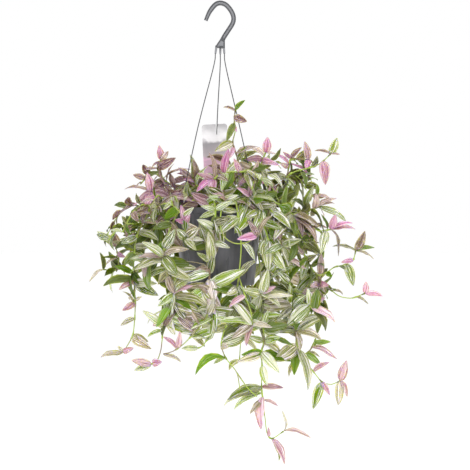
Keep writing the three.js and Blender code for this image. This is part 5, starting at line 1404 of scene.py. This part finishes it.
def chosen_moods(draws, pool, bases):
    """Moods drawn from the shoot's own: green between, few pink, and inside deep green painted darker as
    shade.
    """
    def picked(share):
        return draws.uniform(size=len(bases)) < share

    moods = np.array(pool, dtype=object)[draws.integers(len(pool), size=len(bases))]
    young = young_share(bases)
    high = bases[:, 2] > -440
    moods[picked(0.4 - 0.35 * young)] = "green"
    reddened = np.maximum(0.55 * young, 0.22 * (bases[:, 0] < 0))
    moods[(moods == "green") & picked(reddened)] = "mauve"
    moods[(moods == "pink") & picked(0.85 - 0.45 * young)] = "mauve"
    moods[picked(0.07 * high)] = "vivid"
    # Inside the plant three in four leaves take the deep mood, deep green painted darker as shade, and fewer
    # elsewhere
    inside = (np.abs(bases[:, 1] - 10) < 75) & (bases[:, 2] > -520)
    moods[picked(np.where(inside, 0.75, np.where(high, 0.36, 0.25)) * (1 - young))] = "deep"
    return moods


def leaf_rows(draws, place, base, tip, out, moods):
    """Rows for leaves that no solid stands for, faces turned outward and up, then a little at random."""
    count = len(base)
    length = np.linalg.norm(tip - base, axis=1)
    toward = unit(out + np.array([0, 0, 0.4]) + draws.normal(0, 0.25, (count, 3)))
    width = length * draws.uniform(0.38, 0.52, count)
    roll = draws.uniform(-0.5, 0.5, count)
    sway = draws.uniform(-0.05, 0.05, count)
    columns = {
        "place": place, "base": base, "tip": tip, "width": width, "sway": sway, "mood": moods, "roll": roll,
        "toward": toward, "signed": np.full(count, True), "extra": np.full(count, True),
    }
    return [{key: column[index] for key, column in columns.items()} for index in range(count)]


def outward(points):
    """Level directions away from the pot's axis, turned a little to the light at the front."""
    out = np.stack([points[:, 0] - POT_X, points[:, 1], 0 * points[:, 0]], axis=-1)
    return unit(out + [0, -8, 1e-3])


def more_leaves(shoot, seed, near, far, lengths):
    """Leaf rows along the shoot on alternate sides, near mm apart at its root and far mm at its tip."""
    draws = np.random.default_rng(seed)
    run, places, travelled = walk(shoot["path"])
    total = travelled[-1]
    at = []
    here = START_FROM_SOIL if is_rooted(shoot) else START_FROM_STEM
    while here < total:
        at.append(here)
        here += (near + (far - near) * here / total) * draws.uniform(0.7, 1.3)
    own = np.interp([row["place"] for row in shoot["rows"]], places, travelled)
    at = np.array([one for one in at if (np.abs(own - one) > JOINT_SPACE).all()])
    count = len(at)
    if not count:
        return []
    place = np.interp(at, travelled, places)
    base = run(place)
    along = unit(run(place + 0.03) - run(place - 0.03))
    out = outward(base)
    first = unit(out - dot(out, along) * along)
    second = np.cross(along, first)
    swing = np.radians(90 + 180 * np.arange(count) + draws.uniform(-75, 75, count))[:, None]
    lift = np.radians(draws.uniform(42, 82, count))[:, None]
    droop = np.array([0, 0, -1]) * draws.uniform(0.1, 0.45, (count, 1))
    heading = along * np.cos(lift) + np.sin(lift) * (first * (np.cos(swing) + 0.45) + second * np.sin(swing))
    length = np.interp(at, [0, total], lengths) * draws.uniform(0.75, 1.2, count)
    tip = base + unit(heading + droop) * length[:, None]
    moods = chosen_moods(draws, shoot["pool"], base)
    rows = leaf_rows(draws, place, base, tip, out, moods)
    return [row for row, fits in zip(rows, leaf_fits(base, tip)) if fits]


for index, shoot in enumerate(shoots):
    shoot["pool"] = [row["mood"] for row in shoot["rows"]] or ["green"]
    shoot["extra"] = more_leaves(shoot, 500 + index, 9, 20, (46, 29))
print("leaves added along the shoots:", sum(len(shoot["extra"]) for shoot in shoots))


# %% [markdown]
# Old shoots branch. Thin twigs leave the stems near the pot and carry small leaves of their own, and they
# are much of what is seen between the big leaves.

# %% Twigs
TWIG_RADII = (0.715, 0.495)
TWIG_SPACING = 34
TWIG_FIRST = 24
TWIG_LAST = 10
# Twigs leave the stems only inside this distance from the middle and above this height
TWIG_MOST_X = 135
TWIG_LEAST_Z = -505


def twigs(shoot, seed):
    """Side shoots of four points that leave the stem outward, then hang over: rows like the shoots' own."""
    draws = np.random.default_rng(seed)
    run, places, travelled = walk(shoot["path"])
    grown = []
    for at in np.arange(TWIG_FIRST, travelled[-1] - TWIG_LAST, TWIG_SPACING):
        place = np.interp(at + draws.uniform(-6, 6), travelled, places)
        base = run(place)
        reach = draws.uniform(30, 62)
        turn = draws.uniform(-1.3, 1.3)
        out = outward(base[None])[0]
        level = out * math.cos(turn) + np.cross([0, 0, 1.0], out) * math.sin(turn)
        fall = draws.uniform(0.2, 0.9)
        steps = np.array([0, 0.3, 0.65, 1.0])[:, None]
        rise = 0.55 * steps - (0.55 + fall) * steps**2
        path = base + reach * (level * steps + np.array([0, 0, 1]) * rise)
        share = np.linspace(0.2, 3, 12)
        middle = abs(base[0]) < TWIG_MOST_X and base[2] > TWIG_LEAST_Z
        if middle and clear_of_holder(smooth_curve(path, STEM_TENSION)(share)[None])[0]:
            grown.append({
                "node": shoot["node"], "path": path, "radii": TWIG_RADII, "rows": [], "pool": shoot["pool"],
            })
    return grown


side_shoots = [twig for index, shoot in enumerate(shoots) for twig in twigs(shoot, 700 + index)]
for index, twig in enumerate(side_shoots):
    twig["extra"] = more_leaves(twig, 2000 + index, 9, 13, (30, 22))
shoots += side_shoots
print("twigs:", len(side_shoots), "with", sum(len(twig["extra"]) for twig in side_shoots), "leaves")


# %% [markdown]
# Last, the gaps are filled where the plant is thick. A spot is drawn at random; if no leaf's middle is
# near it, a stem beside it grows a leaf across it.

# %% Leaves that fill the gaps
# The thick part of the plant: lowest and highest x, lowest and highest z
THICK = [
    (-120, 120, -330, -278), (-150, 170, -470, -330), (-60, 130, -500, -470), (-75, 75, -470, -345),
    (10, 130, -545, -490), (-92, -10, -538, -498), (124, 168, -530, -470),
]
# Looser growth beside and below it, which gets a few more leaves
THINNER = [(20, 100, -590, -545), (-70, -20, -560, -535), (118, 150, -345, -295)]
# A filling leaf grows from a stem at this distance from its spot, and has a length in these limits
STEM_NEAR = 8
STEM_FAR = 30
FILL_LENGTHS = (28, 50)


def fill_gaps(seed, tries, gap, front, areas):
    """Adds leaf rows to the shoots: each crosses a spot that is more than gap mm from any leaf's middle.

    Spots are seen from the front (front is -1) or the back (1), and leaves on the far side don't count.
    """
    draws = np.random.default_rng(seed)
    stems = []
    for number, shoot in enumerate(shoots):
        run, places, travelled = walk(shoot["path"])
        place = np.interp(np.arange(8, travelled[-1], 4), travelled, places)
        stems.append(np.column_stack([run(place), np.full(len(place), number), place]))
    stems = np.concatenate(stems)
    stems = stems[stems[:, 1] * front > -40]
    rows = [row for shoot in shoots for row in shoot["rows"] + shoot["extra"]]
    middles = [(row["base"] + row["tip"]) / 2 for row in rows]
    middles = [middle for middle in middles if middle[1] * front > -15]
    added = 0
    for _ in range(tries):
        left, right, low, high = areas[draws.integers(len(areas))]
        spot = np.array([draws.uniform(left, right), draws.uniform(low, high)])
        if np.hypot(*(np.array(middles)[:, [0, 2]] - spot).T).min() < gap:
            continue
        off = np.hypot(*(stems[:, [0, 2]] - spot).T)
        near = np.flatnonzero((off > STEM_NEAR) & (off < STEM_FAR))
        if not len(near):
            continue
        stem = stems[near[draws.integers(len(near))]]
        base = stem[:3]
        ahead = spot - base[[0, 2]]
        heading = unit(np.array([ahead[0], front * draws.uniform(-0.3, 0.7) * np.hypot(*ahead), ahead[1]]))
        length = np.clip(np.hypot(*ahead) * 2.0, *FILL_LENGTHS)
        tip = base + heading * length
        if not leaf_fits(base[None], tip[None])[0]:
            continue
        shoot = shoots[int(stem[3])]
        moods = chosen_moods(draws, shoot["pool"], base[None])
        shoot["extra"] += leaf_rows(draws, stem[4:5], base[None], tip[None], outward(base[None]), moods)
        middles.append((base + tip) / 2)
        added += 1
    return added


print("leaves that fill gaps in front:", fill_gaps(77, 3500, 9.5, -1, THICK))
print("leaves that fill gaps behind:", fill_gaps(78, 1500, 12.0, 1, THICK))
print("leaves that fill gaps below:", fill_gaps(79, 300, 11.5, -1, THINNER))


# %% [markdown]
# A blade is a surface over two parameters: t runs from the base to the tip and c across, from edge to
# edge. Its half width swells fast and falls slowly to a drawn-out tip. The blade is folded along its
# midrib, arched from base to tip, and its edges run in slow waves. It has two sides with a little
# thickness between them, because the underside is another colour. Seven rows of eight points are enough
# for leaves of this size, and keep more than a thousand of them light.

# %% Blades
LEAF_FOLD = 0.22
LEAF_BOW = 0.11
LEAF_WAVE = 0.09
LEAF_HALF_THICKNESS = 0.28
BLADE_PEAK = 0.391
BLADE_ROWS = np.array([0.03, 0.12, 0.27, 0.46, 0.66, 0.84, 0.95])
ACROSS = np.array([-1, -0.5, 0, 0.5, 1, 0.5, 0, -0.5])
SIDE_OF = np.array([0, -1, -1, -1, 0, 1, 1, 1])
UPPER, UNDER, STEM_SKIN = 0, 1, 2
BLADE_SLOTS = [UNDER] * 4 + [UPPER] * 4
# How pink, mauve, vivid green, cream and light the leaves of each mood are; the deep mood is the vivid
# green painted darker, as shade inside the plant, and the vivid one a little lighter, as painted light
MOODS = {
    "green": (0.04, 0.06, 0.12, 0.27, 1.0), "white": (0.05, 0.03, 0.0, 0.46, 1.0),
    "pink": (0.72, 0.15, 0.0, 0.45, 1.0), "mauve": (0.08, 0.66, 0.0, 0.35, 1.0),
    "vivid": (0.0, 0.0, 0.92, 0.15, 1.1), "deep": (0.0, 0.03, 0.85, 0.12, 0.72),
}


def leaf_axes(base, tip, toward, roll, signed):
    """Face and side directions: the face looks toward a direction as far as it can, then rolls."""
    along = unit(tip - base)
    toward = unit(toward - dot(toward, along) * along)
    level = np.cross(toward, along)
    turn = (roll * np.where(signed | (level[:, 2] >= 0), 1, -1))[:, None]
    face = toward * np.cos(turn) + level * np.sin(turn)
    return face, np.cross(face, along)


def blades(base, tip, face, side, width, sway, draw):
    """Rings of the blades: midline point + side * half * c + face * (fold, wave and thickness).

    The half width is the width over 2 times t^0.55 * (1 - t)^0.85, scaled by its peak to reach 1.
    """
    t = BLADE_ROWS[None, :, None, None]
    c = ACROSS[None, None, :, None]
    sign = SIDE_OF[None, None, :, None]
    length = np.linalg.norm(tip - base, axis=-1)[:, None, None, None]
    draw = draw[:, None, None, None]
    half = width[:, None, None, None] / 2 * t**0.55 * (1 - t) ** 0.85 / BLADE_PEAK
    rise = 4 * LEAF_BOW * t * (1 - t) + 0.035 * np.sin(2 * np.pi * draw * 7) * np.sin(2 * np.pi * t)
    bend = 4 * sway[:, None, None, None] * t * (1 - t)
    wave = LEAF_WAVE * np.sin(2 * np.pi * (2.2 * t + 5 * draw)) * c**2 * np.sign(c)
    fold = LEAF_FOLD * (0.55 + 0.9 * ((draw * 13) % 1)) * np.abs(c) + wave
    thick = LEAF_HALF_THICKNESS * (1 - 0.6 * c**2) * sign
    face = face[:, None, None]
    side = side[:, None, None]
    straight = base[:, None, None] * (1 - t) + tip[:, None, None] * t
    middle = straight + face * rise * length + side * bend * length
    rings = middle + side * half * c + face * (half * fold + thick)
    uv = np.stack(np.meshgrid((ACROSS + 1) / 2, BLADE_ROWS), axis=-1)
    return rings, np.stack([base, tip], axis=1), uv


def leaf_colours(moods, seed, extra, tips):
    """Draw (seed, cream, shade) and mood (pink, mauve, vivid) of each leaf, spread about its mood's values.

    Leaves that hang low, in the full light, have more cream and are painted paler as painted light; the
    left ones, and a little the crown's young ones, are painted darker as shade; young ones are pinker.
    """
    draws = np.random.default_rng(seed)
    values = np.array([MOODS[mood] for mood in moods])
    count = len(moods)
    spread = draws.normal(0, 1, (count, 4)) * [0.07, 0.09, 0.08, 0.16]
    pink, mauve, vivid, cream = np.clip(values[:, :4] + spread, 0, 1).T
    hanging = np.clip((-400 - tips[:, 2]) / 140, 0, 1)
    young = young_share(tips)
    cream = np.clip(cream + 0.14 * hanging * (1 - pink), 0, 1)
    pink, mauve = pink * (1 - 0.2 * hanging) + 0.34 * mauve * young, mauve * (1 - 0.4 * hanging)
    # A random tone per leaf, times its mood's light, with the added leaves painted a little darker as shade
    # inside the plant
    shade = draws.uniform(0.76, 1.28, count) * values[:, 4] * np.where(extra, 0.95, 1.0)
    # Painted light and shade by place: hanging leaves lighter, the left ones and the crown's young ones
    # darker
    shaded = np.clip(-tips[:, 0] / 90, 0, 1) * (1 - hanging)
    shade *= 1 + 0.16 * hanging * (1 - pink) - 0.12 * shaded - 0.05 * young
    draw = np.stack([draws.uniform(0, 1, count), cream, shade], axis=-1)
    return draw, np.stack([pink, mauve, vivid], axis=-1)


# %% [markdown]
# Under each blade a thin sheath clasps the stem for about 9 mm. Without it the leaves look glued on. The
# stem itself swells a little at each joint, and is drawn as a tube whose radius is a sum of such swellings.

# %% Stems and sheaths
SHEATH = 7.0
SWELLING = 3.0
STEM_STEP = 5
STEM_SIDES = 8
# The rings of a sheath: places in its lengths from the joint, and mm that they stand off the stem
SHEATH_PLACES = np.array([-0.85, -0.4, 0.05, 0.3])
SHEATH_OFF = np.array([0.12, 0.35, 0.75, 0.5])
# These shifts keep the rings of a sheath apart where the stem's end stops them
RING_SHIFTS = np.array([0, 0.3, 0.6, 0.9])


def stem_radius(shoot, travelled, total, joints):
    """Thins evenly to the tip, with a swelling at each joint."""
    thick, thin = shoot["radii"]
    radius = thick - (thick - thin) * travelled / total
    swell = np.exp(-((travelled[:, None] - joints[None]) / SWELLING) ** 2).sum(axis=1)
    return radius * (1 + 0.16 * np.minimum(swell, 1))


def stem_patches(shoot, rows):
    """The stem's tube, and one batch with the sheath of each leaf."""
    run, places, travelled = walk(shoot["path"])
    total = travelled[-1]
    steps = np.linspace(0, total, max(int(total / STEM_STEP), 4))
    joints = np.interp([row["place"] for row in rows], places, travelled)
    thickness = stem_radius(shoot, steps, total, joints)
    centres, radii = run(np.interp(steps, travelled, places)), thickness
    if is_rooted(shoot):
        centres = np.concatenate([centres[:1] - [0, 0, HOLE_DEPTH - 0.5], centres])
        radii = np.concatenate([radii[:1], radii])
    mauve = np.mean([row["mood"] == "mauve" for row in rows]) if rows else 0
    parts = [tube(centres, radii, STEM_SIDES, STEM_SKIN, (0, mauve, 0))]
    if rows:
        along = np.clip(joints[:, None] + SHEATH * SHEATH_PLACES, 0, total - 1) + RING_SHIFTS
        middles = run(np.interp(along, travelled, places))
        rings = tube_rings(middles, np.interp(along, steps, thickness) + SHEATH_OFF, STEM_SIDES)
        uv = around_and_along(len(SHEATH_PLACES), STEM_SIDES)
        parts.append(patch(rings, middles[:, [0, -1]], uv, STEM_SKIN, mood=(0, mauve, 0)))
    return parts


# %% Grow each node's piece
BLADE_KEYS = ("start", "base", "tip", "toward", "roll", "signed", "width", "sway", "extra")


def leafy_stem(node, members, seed):
    """One object for a packed stem node: its stems, sheaths and blades."""
    parts = []
    leaves = []
    for shoot in members:
        rows = shoot["rows"] + shoot["extra"]
        run = smooth_curve(shoot["path"], STEM_TENSION)
        leaves += [{**row, "start": run(row["place"])} for row in rows]
        parts += stem_patches(shoot, rows)
    start, base, tip, toward, roll, signed, width, sway, extra = (
        np.array([leaf[key] for leaf in leaves]) for key in BLADE_KEYS)
    moods = [leaf["mood"] for leaf in leaves]
    face, side = leaf_axes(base, tip, toward, roll, signed)
    draw, mood = leaf_colours(moods, seed, extra, tip)
    rings, ends, uv = blades(start, tip, face, side, width, sway, draw[:, 0])
    parts.append(patch(rings, ends, uv, BLADE_SLOTS, draw, mood, margins=(0, 4)))
    piece = make_piece("leafy_" + node, parts, PLANT_MATERIALS)
    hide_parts(node)
    return len(leaves)


nodes = list(dict.fromkeys(shoot["node"] for shoot in shoots))
total = sum(
    leafy_stem(node, [shoot for shoot in shoots if shoot["node"] == node], 900 + number)
    for number, node in enumerate(nodes)
)
print("stems:", len(nodes), "leaves:", total)


# %% [markdown]
# The photograph was taken in a white studio, with soft light from all round that is a little stronger from
# the front and the left. So the world is plain white, which is both the background and most of the light,
# and a wide pale floor lies 30 mm under the lowest leaf. It runs on to the horizon on every side.

# %% Floor
FLOOR_DROP = 0.03
FLOOR_REACH = 40.0
floor_z = cad_box[0][2] - FLOOR_DROP
floor_mesh = bpy.data.meshes.new("studio_floor")
floor_sides = ((-1, -1), (1, -1), (1, 1), (-1, 1))
floor_corners = [(x * FLOOR_REACH, y * FLOOR_REACH, floor_z) for x, y in floor_sides]
floor_mesh.from_pydata(floor_corners, [], [(0, 1, 2, 3)])
paint, paint_tree = new_material("white studio floor paint")
paint_place = add(paint_tree, "TexCoord").outputs["Object"]
rolled = add(paint_tree, "TexNoise", {"Vector": paint_place, "Scale": 60.0}).outputs[0]
white = add(paint_tree, "Mix", {0: rolled, 6: linear("#f3f3f3"), 7: linear("#f8f8f8")}, data_type="RGBA")
finish_material(paint_tree, white.outputs[2], 0.9, rolled, 0.0002, Emission_Color=(1, 1, 1, 1),
                Emission_Strength=0.09)
floor_mesh.materials.append(paint)
studio_floor = in_scene("studio_floor", floor_mesh)

# %% Light
world = bpy.data.worlds.new("studio white")
bpy.context.scene.world = world
world.use_nodes = True
background = world.node_tree.nodes["Background"].inputs
background["Color"].default_value = (1.0, 1.0, 1.0, 1.0)
background["Strength"].default_value = 1.0


def area_light(name, place, target, size, power):
    """A square lamp that looks at the target."""
    lamp = bpy.data.lights.new(name, "AREA")
    lamp.size = size
    lamp.energy = power
    holder = in_scene(name, lamp)
    holder.location = place
    aim = Vector(target) - Vector(place)
    holder.rotation_euler = aim.to_track_quat("-Z", "Y").to_euler()


area_light("key", (-0.7, -2.0, 0.9), (0, 0, -0.36), 0.9, 13.5)
area_light("fill", (1.1, -2.8, 0.0), (0, 0, -0.42), 0.7, 17)
area_light("top", (0.2, 0.1, 1.2), (0, 0, -0.36), 1.0, 11)

# %% Camera
camera = bpy.data.cameras.new("camera")
camera.lens = 147
camera.sensor_width = 36
camera_holder = in_scene("camera", camera)
camera_holder.location = (0.024, -3.2, -0.383)
camera_holder.rotation_euler = (math.radians(90), 0, 0)
bpy.context.scene.camera = camera_holder
bpy.context.scene.view_settings.view_transform = "Standard"
